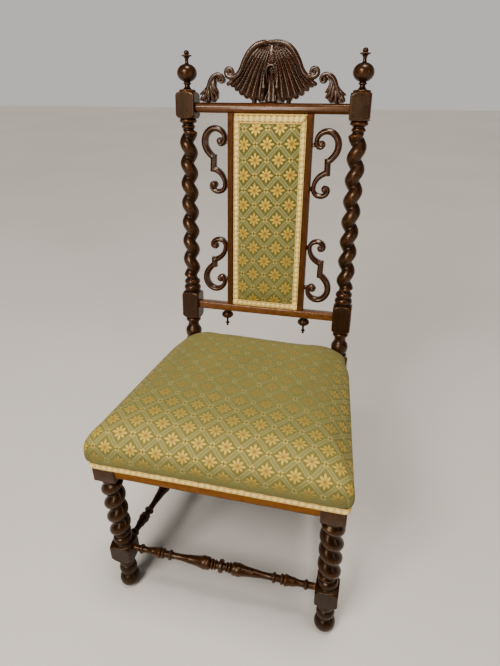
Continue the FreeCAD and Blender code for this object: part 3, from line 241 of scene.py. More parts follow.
class Tree:
    def __init__(self, name, **consts):
        self.mat = bpy.data.materials.new(name)
        self.mat.use_nodes = True
        self.t = self.mat.node_tree
        self.t.nodes.clear()
        out = self.t.nodes.new("ShaderNodeOutputMaterial")
        self.bsdf = self.t.nodes.new("ShaderNodeBsdfPrincipled")
        self.t.links.new(self.bsdf.outputs[0], out.inputs[0])
        for k, v in consts.items():
            self.bsdf.inputs[k.replace("_", " ")].default_value = v

    def plug(self, sock, val):
        if isinstance(val, Wire):
            self.t.links.new(val.sock, sock)
        elif val is not None:
            sock.default_value = val

    def node(self, kind, out=0, props=None, **ins):
        n = self.t.nodes.new(kind)
        for k, v in (props or {}).items():
            setattr(n, k, v)
        for k, v in ins.items():
            self.plug(n.inputs[k.replace("_", " ")], v)
        return Wire(self, n.outputs[out])

    def math(self, op, a, b=None, c=None, clamp=False):
        n = self.t.nodes.new("ShaderNodeMath")
        n.operation = op
        n.use_clamp = clamp
        for s, v in zip(n.inputs, (a, b, c)):
            if v is not None:
                self.plug(s, v)
        return Wire(self, n.outputs[0])

    def attr(self, name, vector=True):
        n = self.t.nodes.new("ShaderNodeAttribute")
        n.attribute_name = name
        return Wire(self, n.outputs["Vector" if vector else "Fac"])

    def here(self):
        return Wire(self, self.t.nodes.new("ShaderNodeTexCoord").outputs["Object"])

    def sep(self, v):
        n = self.t.nodes.new("ShaderNodeSeparateXYZ")
        self.plug(n.inputs[0], v)
        return [Wire(self, o) for o in n.outputs]

    def comb(self, x, y, z=0.0):
        n = self.t.nodes.new("ShaderNodeCombineXYZ")
        for s, v in zip(n.inputs, (x, y, z)):
            self.plug(s, v)
        return Wire(self, n.outputs[0])

    def scale(self, v, s):
        n = self.t.nodes.new("ShaderNodeMapping")
        self.plug(n.inputs["Vector"], v)
        n.inputs["Scale"].default_value = s
        return Wire(self, n.outputs[0])

    def noise(self, v, scale=1.0, detail=3.0, rough=0.5, bend=0.0):
        n = self.t.nodes.new("ShaderNodeTexNoise")
        self.plug(n.inputs["Vector"], v)
        n.inputs["Scale"].default_value = scale
        n.inputs["Detail"].default_value = detail
        n.inputs["Roughness"].default_value = rough
        n.inputs["Distortion"].default_value = bend
        return Wire(self, n.outputs["Fac"] if "Fac" in n.outputs else n.outputs[0])

    def step(self, x, lo, hi, a=0.0, b=1.0):
        n = self.t.nodes.new("ShaderNodeMapRange")
        n.interpolation_type = "SMOOTHSTEP"
        self.plug(n.inputs["Value"], x)
        n.inputs["From Min"].default_value = lo
        n.inputs["From Max"].default_value = hi
        n.inputs["To Min"].default_value = a
        n.inputs["To Max"].default_value = b
        return Wire(self, n.outputs["Result"])

    def mix(self, f, a, b):
        n = self.t.nodes.new("ShaderNodeMix")
        n.data_type = "RGBA"
        self.plug(n.inputs[0], f)
        for sock, v in ((n.inputs[6], a), (n.inputs[7], b)):
            if isinstance(v, Wire):
                self.plug(sock, v)
            else:
                sock.default_value = (*v, 1.0)
        return Wire(self, n.outputs[2])

    def bump(self, h, strength, dist):
        n = self.t.nodes.new("ShaderNodeBump")
        n.inputs["Strength"].default_value = strength
        n.inputs["Distance"].default_value = dist
        self.plug(n.inputs["Height"], h)
        return Wire(self, n.outputs[0])

    def set(self, **ins):
        for k, v in ins.items():
            self.plug(self.bsdf.inputs[k.replace("_", " ")], v)
        return self.mat


def wood(name, dark, mid, light, worn, rough=0.3, coat=0.35, use_attr=True, axis=0, spec=0.26, tint=(1.0, 0.70, 0.44)):
    """Polished wood. Grain runs along the first grain coordinate (mm). The polish is amber, so its gloss is warm."""
    t = Tree(name, Coat_Weight=coat, Coat_Roughness=0.12, Specular_IOR_Level=spec, Specular_Tint=tint + (1.0,))
    if use_attr:
        g = t.attr("gco")
        wear_and_shade = t.attr("wear_and_shade", False)
    else:
        g = t.scale(t.here(), (1000, 1000, 1000))
        if axis == 2:
            x, y, z = t.sep(g)
            g = t.comb(z, x, y)
        elif axis == 1:
            x, y, z = t.sep(g)
            g = t.comb(y, x, z)
        wear_and_shade = None
    figure = t.noise(t.scale(g, (0.006, 0.06, 0.06)), 1.0, 4.0, 0.55, 0.8)
    streak = t.noise(t.scale(g, (0.012, 0.42, 0.42)), 1.0, 4.0, 0.6, 0.35)
    pores = t.noise(t.scale(g, (0.07, 2.6, 2.6)), 1.0, 3.0, 0.6)
    blotch = t.noise(t.scale(g, (0.03, 0.03, 0.03)), 1.0, 3.0, 0.5)
    tone = t.step(figure * 0.55 + streak * 0.45, 0.34, 0.66)
    col = t.mix(tone, dark, mid)
    col = t.mix(t.step(streak, 0.52, 0.74, 0.0, 0.55), col, light)
    pore = t.step(pores, 0.60, 0.72)
    col = t.mix(pore * 0.45, col, tuple(c * 0.45 for c in dark))
    rgh = t.step(blotch, 0.3, 0.7, rough - 0.06, rough + 0.10) + pore * 0.12
    if wear_and_shade is not None:
        scuff = t.noise(t.scale(g, (0.09, 0.14, 0.14)), 1.0, 4.0, 0.6)
        high = t.step(wear_and_shade, 0.56, 0.92) * t.step(scuff, 0.30, 0.68, 0.25, 0.95)
        col = t.mix(high * 0.75, col, worn)
        # hollows darker and rougher: dirt in the grooves and painted shade; pieces may also carry painted shade of
        # their own
        low = t.math("MAXIMUM", t.step(wear_and_shade, 0.46, 0.12), t.attr("painted_shade", False))
        col = t.mix(low * 0.8, col, tuple(c * 0.28 for c in dark))
        rgh = rgh + low * 0.22
    t.set(Base_Color=col, Roughness=rgh)
    t.set(Normal=t.bump(pores * 0.6 + streak * 0.4, 0.12, 0.0006))
    return t.mat


def weave_height(t, u, v, pitch):
    """Height of a plain weave with threads at a pitch, in the units of u and v."""
    a = t.math("SINE", u * (math.pi / pitch))
    b = t.math("SINE", v * (math.pi / pitch))
    return a * b


def brocade(name):
    """Sage ground, ribbon trellis, eight-petalled daisies and small florets, drawn in cloth millimetres.
    A per-point attribute is 1 where the figure is bright and 0 where it is dull: unworn against sat-flat silk, and
    painted satin sheen where the cloth faces the light."""
    t = Tree(name, Specular_IOR_Level=0.22, Specular_Tint=(1.0, 0.88, 0.60, 1.0), Sheen_Weight=0.04, Sheen_Roughness=0.5, Sheen_Tint=(1.0, 0.93, 0.70, 1.0))
    u0, v0, w0 = t.sep(t.attr("cloth"))
    # the figure is woven, so its edges step from thread to thread
    yarn = 0.7
    wob = t.noise(t.comb(u0 * 0.05, v0 * 0.05, w0), 1.0, 2.0, 0.5)
    u = t.math("SNAP", u0 + (wob - 0.5) * 1.6, yarn)
    v = t.math("SNAP", v0 + (wob - 0.5) * 1.6, yarn * 1.1)
    DX, DY = CLOTH["dx"], CLOTH["dy"]
    a, b = u * (1.0 / DX), v * (1.0 / DY)
    p, q = (a + b) * 0.5, (a - b) * 0.5
    # nearest daisy: eight slender petals, the upright ones longest
    dp, dq = p - t.math("ROUND", p), q - t.math("ROUND", q)
    x, y = (dp + dq) * DX, (dp - dq) * DY
    r = t.math("SQRT", x * x + y * y)
    ang = t.math("ARCTAN2", y, x)
    off = t.math("PINGPONG", ang, math.pi / 8)
    side = r * t.math("SINE", off)
    along = r * t.math("COSINE", off)
    cross = t.math("ABSOLUTE", t.math("COSINE", ang * 2.0))
    mid = t.step(cross, 0.25, 0.9, 7.3, 8.3)
    half = t.step(cross, 0.25, 0.9, 4.9, 5.9)
    e1 = t.math("DIVIDE", along - mid, half)
    e2 = side * (1.0 / 2.2)
    oval = e1 * e1 + e2 * e2
    petal = t.step(oval, 1.12, 0.82)
    heart = t.step(r, 2.5, 1.8)
    inner = t.step(r, 8.4, 3.0)
    well = t.step(r, 16.5, 13.8)
    # nearest floret: a ring of small buds round a brown eye
    p2, q2 = p + 0.5, q + 0.5
    ep, eq = p2 - t.math("ROUND", p2), q2 - t.math("ROUND", q2)
    fx, fy = (ep + eq) * DX, (ep - eq) * DY
    ax, ay = t.math("ABSOLUTE", fx), t.math("ABSOLUTE", fy)
    gx, gy = ax - 3.0, ay - 2.9
    fr = t.math("SQRT", gx * gx + gy * gy)
    tip = ay - 5.6
    fr2 = t.math("SQRT", ax * ax + tip * tip)
    bud = t.math("MAXIMUM", t.step(fr, 2.4, 1.7), t.step(fr2, 1.7, 1.1))
    fr0 = t.math("SQRT", fx * fx + fy * fy)
    eye = t.step(fr0, 2.0, 1.3)
    halo = t.step(fr0, 7.6, 6.4)
    # ribbons between the florets: a pale band, lighter along both edges
    per = 1.0 / (0.5 * math.sqrt(1 / DX ** 2 + 1 / DY ** 2))
    d1 = t.math("ABSOLUTE", ep) * per
    d2 = t.math("ABSOLUTE", eq) * per
    dist = t.math("MINIMUM", d1, d2)
    lines = t.step(t.math("ABSOLUTE", dist - 3.2), 0.95, 0.45) * (1.0 - halo)
    band = t.step(dist, 4.3, 3.7) * (1.0 - halo)
    rung = t.step(t.math("SINE", (u - v) * 2.4), -0.2, 0.5)
    shade = t.step(dist, 7.4, 5.0) * (1.0 - band)
    # ground, with slubs along both thread directions
    slub_u = t.noise(t.comb(u0 * 0.03, v0 * 1.1, w0), 1.0, 3.0, 0.6)
    slub_v = t.noise(t.comb(u0 * 1.1, v0 * 0.03, w0), 1.0, 3.0, 0.6)
    broad = t.noise(t.comb(u0 * 0.012, v0 * 0.012, w0), 1.0, 3.0, 0.5)
    slub = t.step(slub_u * 0.5 + slub_v * 0.5, 0.36, 0.64)
    # the figure bright: unworn silk, with painted satin sheen
    ground = t.mix(slub, (0.106, 0.094, 0.0205), (0.176, 0.156, 0.038))
    ground = t.mix(shade * 0.35, ground, (0.076, 0.067, 0.0125))
    ground = t.mix(well * 0.45, ground, (0.072, 0.063, 0.0115))
    ribbon = t.mix(rung * 0.35, (0.215, 0.200, 0.064), (0.172, 0.160, 0.047))
    fresh_lit_figure = t.mix(band * 0.9, ground, ribbon)
    fresh_lit_figure = t.mix(lines * 0.80, fresh_lit_figure, (0.375, 0.335, 0.122))
    dot = t.step(t.math("SINE", u * 4.5) * t.math("SINE", v * 4.1), 0.0, 0.3)
    pet = t.mix(inner, (0.66, 0.450, 0.060), (0.57, 0.325, 0.029))
    pet = t.mix(dot * 0.20, pet, (0.40, 0.275, 0.05))
    fresh_lit_figure = t.mix(petal, fresh_lit_figure, pet)
    fresh_lit_figure = t.mix(heart * 0.8, fresh_lit_figure, (0.34, 0.150, 0.018))
    fresh_lit_figure = t.mix(halo * (1.0 - bud) * 0.4, fresh_lit_figure, (0.120, 0.110, 0.024))
    fresh_lit_figure = t.mix(bud, fresh_lit_figure, (0.55, 0.425, 0.105))
    fresh_lit_figure = t.mix(eye, fresh_lit_figure, (0.17, 0.070, 0.011))
    # the figure dull: sat flat, its threads sunk into the ground, without the painted satin sheen
    flat = t.mix(slub, (0.130, 0.117, 0.0315), (0.186, 0.167, 0.0485))
    flat = t.mix(t.step(broad, 0.35, 0.7, 0.0, 0.35), flat, (0.200, 0.168, 0.042))
    flat = t.mix(band * 0.12, flat, (0.215, 0.200, 0.078))
    flat = t.mix(petal * 0.46, flat, (0.225, 0.138, 0.027))
    flat = t.mix(bud * 0.50, flat, (0.36, 0.29, 0.105))
    flat = t.mix(eye * 0.6, flat, (0.12, 0.058, 0.013))
    patch = t.noise(t.comb(u0 * 0.022, v0 * 0.022, w0), 1.0, 3.0, 0.55)
    sheen_and_wear = t.math("ADD", t.attr("sheen_and_wear", False), (patch - 0.5) * 0.35, clamp=True)
    # the figure bright or dull: painted satin sheen where the cloth faces the light, and unworn against sat-flat silk
    col = t.mix(sheen_and_wear, flat, fresh_lit_figure)
    # painted sheen: a golden satin glint mixed in along the front roll of the seat
    col = t.mix(t.attr("painted_sheen", False), col, (0.335, 0.252, 0.058))
    # painted shade: the lower front of the seat cover mixed towards a dark grey-green
    col = t.mix(t.attr("soil_and_shade", False), col, (0.074, 0.069, 0.022))
    silk = t.math("MAXIMUM", petal * (1.0 - heart * 0.5), t.math("MAXIMUM", bud, lines * 0.6))
    # the figure's floating threads are bright silk, the ground is matt
    gloss = silk * t.math("MULTIPLY_ADD", sheen_and_wear, 0.85, 0.15)
    rgh = t.math("MULTIPLY_ADD", gloss, -0.26, 0.78)
    met = gloss * 0.5
    threads = weave_height(t, u0, v0, yarn)
    height = threads * 0.5 + silk * 0.9 + slub_u * 0.4 + slub_v * 0.3
    t.set(Base_Color=col, Roughness=rgh, Metallic=met, Normal=t.bump(height, 0.35, 0.0004))
    return t.mat


# half the distance between daisies across and along the cloth, mm
CLOTH = {"dx": 24.2, "dy": 29.5}


def plain_cloth(name, a, b, pitch, rough=0.85, open_weave=False, bump=0.5):
    """Plain woven cloth, threads along object X and Y."""
    t = Tree(name, Specular_IOR_Level=0.25)
    x, y, z = t.sep(t.scale(t.here(), (1000, 1000, 1000)))
    h = weave_height(t, x, y + z, pitch)
    slub = t.noise(t.comb(x * 0.06, (y + z) * 1.3, 0.0), 1.0, 3.0, 0.6)
    slub2 = t.noise(t.comb(x * 1.3, (y + z) * 0.06, 0.0), 1.0, 3.0, 0.6)
    f = t.step(slub * 0.5 + slub2 * 0.5, 0.38, 0.62)
    col = t.mix(f, a, b)
    gap = t.step(h, -0.55, -0.95)
    col = t.mix(gap * (0.75 if open_weave else 0.3), col, tuple(c * 0.3 for c in a))
    t.set(Base_Color=col, Roughness=t.step(slub, 0.3, 0.7, rough - 0.08, rough + 0.08), Normal=t.bump(h + slub * 0.6, bump, 0.0005))
    return t.mat


def gimp_cloth(name):
    """Woven braid: cream and gold cords with stitch marks."""
    t = Tree(name, Specular_IOR_Level=0.25, Specular_Tint=(1.0, 0.90, 0.68, 1.0), Sheen_Weight=0.10, Sheen_Roughness=0.4, Sheen_Tint=(1.0, 0.92, 0.70, 1.0))
    l, w, k = t.sep(t.attr("cloth"))
    lay = t.attr("wear_and_shade", False)
    ply = t.math("SINE", (l + w * 0.8) * 5.2)
    fuzz = t.noise(t.comb(l * 1.2, w * 1.2, k), 1.0, 3.0, 0.6)
    soil_and_shade = t.noise(t.comb(l * 0.03, w * 0.05, k), 1.0, 3.0, 0.55)
    col = t.mix(t.step(fuzz, 0.35, 0.65), (1.0, 0.745, 0.215), (1.0, 0.87, 0.36))
    col = t.mix(t.step(soil_and_shade, 0.4, 0.75, 0.0, 0.40), col, (0.92, 0.64, 0.190))
    # painted shade: the low parts of the braid between the loops turn tan
    col = t.mix(t.step(lay, 0.88, 0.46, 0.0, 0.80), col, (0.92, 0.60, 0.140))
    fleck = t.noise(t.comb(l * 0.34, w * 1.9, k), 1.0, 1.0, 0.5)
    col = t.mix(t.math("MULTIPLY", t.step(fleck, 0.56, 0.66, 0.0, 0.62), t.step(lay, 0.98, 0.70)), col, (0.30, 0.170, 0.038))
    # painted shade: the deepest gaps of the braid dark brown
    col = t.mix(t.step(lay, 0.34, 0.06), col, (0.30, 0.160, 0.038))
    t.set(Base_Color=col, Roughness=t.step(fuzz, 0.3, 0.7, 0.55, 0.75), Normal=t.bump(ply * 0.5 + fuzz, 0.4, 0.0004))
    return t.mat


def metal(name, a, b, rough):
    t = Tree(name, Metallic=1.0)
    p = t.scale(t.here(), (1000, 1000, 1000))
    n1 = t.noise(p, 0.25, 4.0, 0.6)
    n2 = t.noise(p, 2.5, 3.0, 0.5)
    t.set(Base_Color=t.mix(t.step(n1, 0.35, 0.7), a, b), Roughness=t.step(n2, 0.3, 0.7, rough - 0.1, rough + 0.15), Normal=t.bump(n2, 0.1, 0.0003))
    return t.mat


WALNUT = wood("dark_walnut", (0.0060, 0.0020, 0.0007), (0.022, 0.0064, 0.0014), (0.048, 0.0150, 0.0029), (0.135, 0.0430, 0.0066), 0.28, 0.10, spec=0.38, tint=(1.0, 0.64, 0.38))
# the same walnut made darker for the legs and pendants: painted shade under the seat
SHADED_LEG_WALNUT = wood("leg_walnut_painted_shade", (0.0050, 0.0017, 0.0006), (0.017, 0.0050, 0.0011), (0.036, 0.0112, 0.0021), (0.095, 0.0310, 0.0048), 0.29, 0.07, spec=0.27, tint=(1.0, 0.62, 0.34))
CARVED = wood("carved_walnut", (0.0082, 0.0022, 0.0007), (0.042, 0.0102, 0.0019), (0.090, 0.0238, 0.0040), (0.175, 0.0500, 0.0088), 0.27, 0.26, spec=0.56, tint=(1.0, 0.76, 0.56))
TURNED_RED = wood("stretcher_walnut", (0.0080, 0.0025, 0.0008), (0.034, 0.0096, 0.0019), (0.074, 0.0230, 0.0040), (0.150, 0.0500, 0.0080), 0.28, 0.10, spec=0.32, tint=(1.0, 0.64, 0.36))
REDWOOD = wood("red_walnut", (0.034, 0.0094, 0.0020), (0.088, 0.0262, 0.0044), (0.142, 0.0460, 0.0072), (0.21, 0.0720, 0.0115), 0.25, 0.34, spec=0.36)
STILEWOOD = wood("stile_walnut", (0.020, 0.0054, 0.0010), (0.050, 0.0135, 0.0018), (0.080, 0.0235, 0.0034), (0.115, 0.0370, 0.0060), 0.46, 0.0, spec=0.14)
FRONTWOOD = wood("front_rail_walnut", (0.070, 0.0215, 0.0016), (0.130, 0.0410, 0.0024), (0.175, 0.0590, 0.0040), (0.20, 0.0700, 0.0060), 0.50, 0.0, spec=0.12)
BEECH = wood("beech", (0.30, 0.18, 0.095), (0.40, 0.26, 0.15), (0.46, 0.31, 0.19), (0.5, 0.35, 0.2), 0.62, 0.0, False, 0)
BEECH_POLISHED = wood("stained_beech", (0.034, 0.0105, 0.0036), (0.068, 0.022, 0.0070), (0.100, 0.034, 0.0100), (0.14, 0.050, 0.014), 0.40, 0.15)
BROCADE = brocade("green_brocade")
GIMP = gimp_cloth("cream_gimp")
LINEN = plain_cloth("black_linen", (0.010, 0.010, 0.011), (0.024, 0.023, 0.024), 0.8, 0.85)
HESSIAN = plain_cloth("hessian", (0.26, 0.18, 0.09), (0.38, 0.28, 0.16), 1.4, 0.9, True, 0.8)
JUTE = plain_cloth("jute_webbing", (0.28, 0.19, 0.10), (0.42, 0.31, 0.18), 1.0, 0.88, False, 0.7)
STEEL = metal("steel", (0.36, 0.35, 0.33), (0.20, 0.19, 0.18), 0.42)
BLUED = metal("blued_steel", (0.055, 0.058, 0.072), (0.11, 0.09, 0.08), 0.5)
SPRING = metal("spring_steel", (0.30, 0.20, 0.13), (0.16, 0.12, 0.10), 0.38)


# ---------------------------------------------------------------- turnings
def angles(base=72, corner=(1.3, 2.6, 4.5)):
    th = [360.0 * i / base for i in range(base)]
    for c in (45, 135, 225, 315):
        for k in corner:
            th += [c - k, c + k]
    th = np.unique(np.round(np.array(th), 4))
    return np.radians(th)


THETA = angles()


def square_radius(half, chamfer=1.1):
    c, s = np.abs(np.cos(THETA)), np.abs(np.sin(THETA))
    flat = half / np.maximum(c, s)
    cut = (half * math.sqrt(2) - chamfer) / np.abs(np.cos((THETA % (math.pi / 2)) - math.pi / 4))
    return np.minimum(flat, cut)


def twist_radius(z, z0, inner, outer, pitch, phase, hand):
    psi = THETA[None] - (phase + hand * 2 * math.pi * (z[:, None] - z0) / pitch)
    return inner + (outer - inner) * np.sqrt((1 + np.cos(psi)) / 2 * 0.98 + 0.02)


class Turned:
    """Rows of a turned, squared and twisted length, from low to high."""

    def __init__(self):
        self.z, self.r = [], []

    def add(self, z, r):
        self.z.append(z)
        self.r.append(np.broadcast_to(np.asarray(r, float), THETA.shape).copy())

    def lathe(self, pts, step=0.8):
        for r, z in arcs(pts, step):
            self.add(z, r)

    def block(self, half, shoulders, chamfer=1.1, step=1.0):
        """Square block cut back by a turned outline."""
        sq = square_radius(half, chamfer)
        for r, z in arcs(shoulders, step):
            self.add(z, np.minimum(sq, r))

    def twist(self, z0, z1, inner, outer, pitch, phase, hand, r0, r1, ease=7.0, step=1.1, zero=0.0):
        z = np.linspace(z0, z1, int((z1 - z0) / step))
        R = twist_radius(z, zero, inner, outer, pitch, phase, hand)
        a = smooth01(z, z0, z0 + ease)[:, None]
        b = smooth01(z, z1, z1 - ease)[:, None]
        R = r0 + (R - r0) * a
        R = r1 + (R - r1) * b
        for zz, rr in zip(z, R):
            self.add(zz, rr)

    def rings(self):
        z, R = np.array(self.z), np.array(self.r)
        keep = np.concatenate([[True], (np.abs(np.diff(z)) > 1e-4) | (np.abs(np.diff(R, axis=0)).max(1) > 1e-4)])
        z, R = z[keep], R[keep]
        return np.stack([R * np.cos(THETA), R * np.sin(THETA), np.broadcast_to(z[:, None], R.shape)], -1)


def along_z(P):
    return np.stack([P[..., 2], P[..., 0], P[..., 1]], -1)


def front_leg(side):
    T = Turned()
    r0 = math.sqrt(20.7 ** 2 - 17.5 ** 2)
    for k in np.linspace(math.atan2(-17.5, r0), math.atan2(15.8, 13.4), 30):
        T.add(17.5 + 20.7 * math.sin(k), 20.7 * math.cos(k))
    T.lathe([(13.4, 33.6), (13.8, 38.2), (14.6, 38.8, 3.4), (14.6, 60.0), (13.6, 60.5, -0.4), (13.8, 63.1), (14.6, 63.6, 1.9), (14.6, 78.0), (13.4, 78.6, -0.4),
             (13.6, 82.4), (15.0, 83.0)])
    wide = 21.8 * math.sqrt(2) + 0.6
    T.block(21.8, [(16.2, 83.5, 3.2), (wide, 98.0), (wide, 117.5, 3.2), (18.0, 130.4)])
    T.lathe([(17.0, 130.8), (16.2, 132.2, 2.5), (16.2, 147.0), (14.4, 147.6), (13.2, 149.5)])
    T.twist(149.5, 302.0, LEG["inner"], LEG["outer"], LEG["pitch"], LEG["phase"], 1.0, 14.0, 14.5, 8.0, zero=LEG["zero"][side])
    T.lathe([(15.0, 302.4), (17.6, 304.0, 1.9), (17.6, 311.6), (17.8, 311.9)])
    sq = square_radius(21.8, 1.0)
    for z, k in ((312.0, -0.9), (312.35, -0.35), (313.0, 0.0), (330.0, 0.0), (345.0, 0.0), (375.2, 0.0), (376.0, -0.8)):
        T.add(z, sq + k)
    P = T.rings()
    P[..., 0] -= 208.5
    if side > 0:
        P[..., 0] *= -1
    local = P.copy()
    v, f = tube_mesh(floor(P))
    g = np.vstack([along_z(local).reshape(-1, 3), along_z(local[0].mean(0))[None], along_z(local[-1].mean(0))[None]])
    name = "front_leg_right" if side > 0 else "front_leg_left"
    z = v[:, 2] / MM
    # painted shade on the top block under the seat; the lower block and the foot are darker too
    painted_shade = 0.55 * smooth01(z, 310.5, 313.0) + 0.40 * smooth01(z, 133.0, 129.0)
    make("turned_" + name, v, f, SHADED_LEG_WALNUT, (name,), 40, g, (14, 2.8), {"painted_shade": painted_shade})


# each length is cut by hand, so the strands start at slightly different heights
LEG = {"inner": 10.8, "outer": 21.9, "pitch": 37.2, "phase": math.radians(-90), "zero": {-1: 135.5, 1: 142.5}}
POST = {"inner": 8.0, "outer": 18.5, "pitch": 40.8, "phase": math.radians(201.3), "zero": {-1: 222.2, 1: 219.0}}


def rear_post(side):
    T = Turned()
    T.lathe([(14.6, 46.0), (15.4, 60.0), (15.4, 65.6), (16.2, 66.0, 1.2), (16.2, 73.4), (14.2, 74.4), (14.4, 75.2, 1.0), (18.3, 87.0, 1.2),
             (16.2, 99.0, -1.6), (12.6, 112.4), (12.9, 114.2), (14.6, 114.8, 2.4), (14.6, 124.2), (14.2, 124.8), (15.6, 125.4)])
    wide = 19.5 * math.sqrt(2) + 0.6
    T.block(19.5, [(16.2, 125.6, 2.6), (wide, 137.5), (wide, 176.0, 2.6), (17.4, 188.0)])
    T.lathe([(15.8, 188.6), (15.8, 190.2, 2.9), (15.8, 203.2), (14.6, 203.8), (14.6, 205.0), (15.2, 205.4, 2.4), (15.2, 216.2), (12.6, 216.8), (12.0, 219.0)])
    T.twist(219.0, 534.0, POST["inner"], POST["outer"], POST["pitch"], POST["phase"], -1.0, 12.4, 11.0, 7.0, zero=POST["zero"][side])
    T.lathe([(11.0, 534.2), (12.0, 535.0, 1.9), (12.0, 541.8), (11.2, 542.3, -0.3), (11.6, 543.6, -0.6), (15.4, 546.2), (15.9, 546.5, 1.8), (15.9, 552.6), (15.0, 552.9), (16.4, 553.2)])
    T.block(19.5, [(16.8, 553.4, 2.0), (wide, 563.5), (wide, 593.5, 2.0), (16.8, 603.5)])
    P = T.rings()
    P[..., 0] -= 171.5
    if side > 0:
        P[..., 0] *= -1
    v1, f1 = tube_mesh(back(P))
    g1 = np.vstack([along_z(P).reshape(-1, 3), along_z(P[0].mean(0))[None], along_z(P[-1].mean(0))[None]])
    # raked leg below the seat, eased edges
    rows = [(0.0, 433.0, 15.0, 19.0), (1.2, 432.8, 16.0, 20.0)]
    for z in np.concatenate([[2.2, 3.2, 4.2, 5.4, 6.8, 8.6, 11.0], np.linspace(14, 308, 74)]):
        f = z / 312.0
        rows.append((z, 433.0 + (372.5 - 433.0) * f, 16.0 + 4.0 * f, 20.0))
    rows += [(z, 372.5, 20.0, 20.0) for z in np.linspace(312.0, 386.2, 22)] + [(387.0, 372.5, 19.2, 19.2)]
    rings = []
    for z, yc, hy, hx in rows:
        c, s = np.cos(THETA), np.sin(THETA)
        ch = 1.6
        k = np.minimum(1.0 / np.maximum(np.abs(c), np.abs(s)), (math.sqrt(2) * 20.0 - ch) / 20.0 / np.abs(np.cos((THETA % (math.pi / 2)) - math.pi / 4)))
        rings.append(np.stack([-171.5 + hx * k * c, yc + hy * k * s, np.full_like(c, z)], -1))
    L = np.array(rings)
    if side > 0:
        L[..., 0] *= -1
    v2, f2 = tube_mesh(floor(L))
    g2 = np.vstack([along_z(L).reshape(-1, 3), along_z(L[0].mean(0))[None], along_z(L[-1].mean(0))[None]])
    v, f = join([(v1, f1), (v2, f2)])
    name = "rear_post_right" if side > 0 else "rear_post_left"
    make("turned_" + name, v, f, WALNUT, (name,), 40, np.vstack([g1, g2]), (14, 2.5))


def lathe_piece(name, node, pts, place, mat=None, nth=56):
    """A turned piece with its axis along local Z; place puts local mm into metres."""
    prof = arcs(pts, 0.7)
    prof = prof[(prof[:, 0] > 0.02)]
    th = np.linspace(0, 2 * math.pi, nth, endpoint=False)
    P = np.stack([prof[:, None, 0] * np.cos(th), prof[:, None, 0] * np.sin(th), np.broadcast_to(prof[:, None, 1], (len(prof), nth))], -1)
    v, f = tube_mesh(P)
    g = np.stack([v[:, 2], v[:, 0], v[:, 1]], 1)
    make(name, place(v), f, mat or WALNUT, (node,), 40, g, (10, 2.6))


BALL = [(19.7 * math.cos(a), 33.3 + 16.6 * math.sin(a)) for a in np.radians(np.linspace(-70, 75, 40))]
FINIAL = [(4.8, -13.5), (4.8, -0.2), (15.6, 0.0, 1.3), (15.6, 3.4), (14.6, 3.8, -2.2), (5.4, 10.0), (5.2, 12.2), (6.6, 12.9, 1.5), (6.6, 16.2), (6.2, 17.0)] + BALL + [
    (4.4, 49.6), (4.0, 50.6, -0.7), (4.2, 58.8), (5.2, 60.2, -0.6), (9.0, 62.6, 1.2), (9.0, 64.9), (4.0, 66.0), (3.9, 66.4, 0.8), (5.1, 69.7, 1.3), (0.1, 73.5)]
PENDANT = [(0.1, -40.4, 1.0), (2.6, -36.6), (2.1, -35.4), (3.9, -33.8, 1.0), (3.9, -31.4), (2.4, -29.6, -0.3), (2.6, -21.6), (4.6, -20.2, 1.2), (11.0, -16.6, 1.0), (12.9, -12.4, 1.0),
           (10.6, -8.0, 1.2), (5.4, -4.7), (4.8, -3.2), (6.2, -2.4, 0.8), (6.2, -0.1), (3.8, 0.0), (3.8, 8.8)]
HALF_SPINDLE = [(13.2, 0.0, 1.0), (11.0, 4.2), (7.4, 4.7), (7.2, 9.0), (8.4, 9.8, 1.5), (8.4, 13.8), (7.3, 14.6), (9.4, 15.6, 1.6), (9.4, 20.2), (8.2, 21.0),
                (10.6, 22.2, 1.2), (12.6, 30.0, 1.0), (11.6, 42.0, -0.6), (8.6, 66.0, -0.7), (6.5, 96.5), (6.7, 102.6), (8.2, 103.4, 2.3), (8.2, 109.4), (7.1, 110.2), (7.0, 118.2), (8.2, 119.0, 2.3), (8.2, 125.0),
                (9.2, 125.8, 1.4), (10.9, 131.6, -0.6), (8.8, 145.0, -0.6), (6.3, 158.0), (6.5, 164.0), (7.6, 164.8, 2.2), (7.6, 171.8), (6.7, 172.6), (6.6, 186.5), (4.9, 186.7), (4.9, 201.0)]


def spindle_profile():
    half = arcs(HALF_SPINDLE, 0.7)
    left = half[::-1] * np.array([1, -1])
    return np.vstack([left[:-1], half])


def spindle(name, node, place):
    prof = spindle_profile()
    lathe_piece(name, node, [tuple(p) for p in prof], place, mat=TURNED_RED)


def axis_place(a, b, frame_fn):
    a, b = np.array(a, float), np.array(b, float)
    t = (b - a) / np.linalg.norm(b - a)
    ref = np.array([0, 0, 1.0])
    e1 = np.cross(ref, t)
    e1 /= np.linalg.norm(e1)
    e2 = np.cross(t, e1)
    mid = (a + b) / 2
    return lambda v: frame_fn(mid + v[:, :1] * e1 + v[:, 1:2] * e2 + v[:, 2:3] * t)


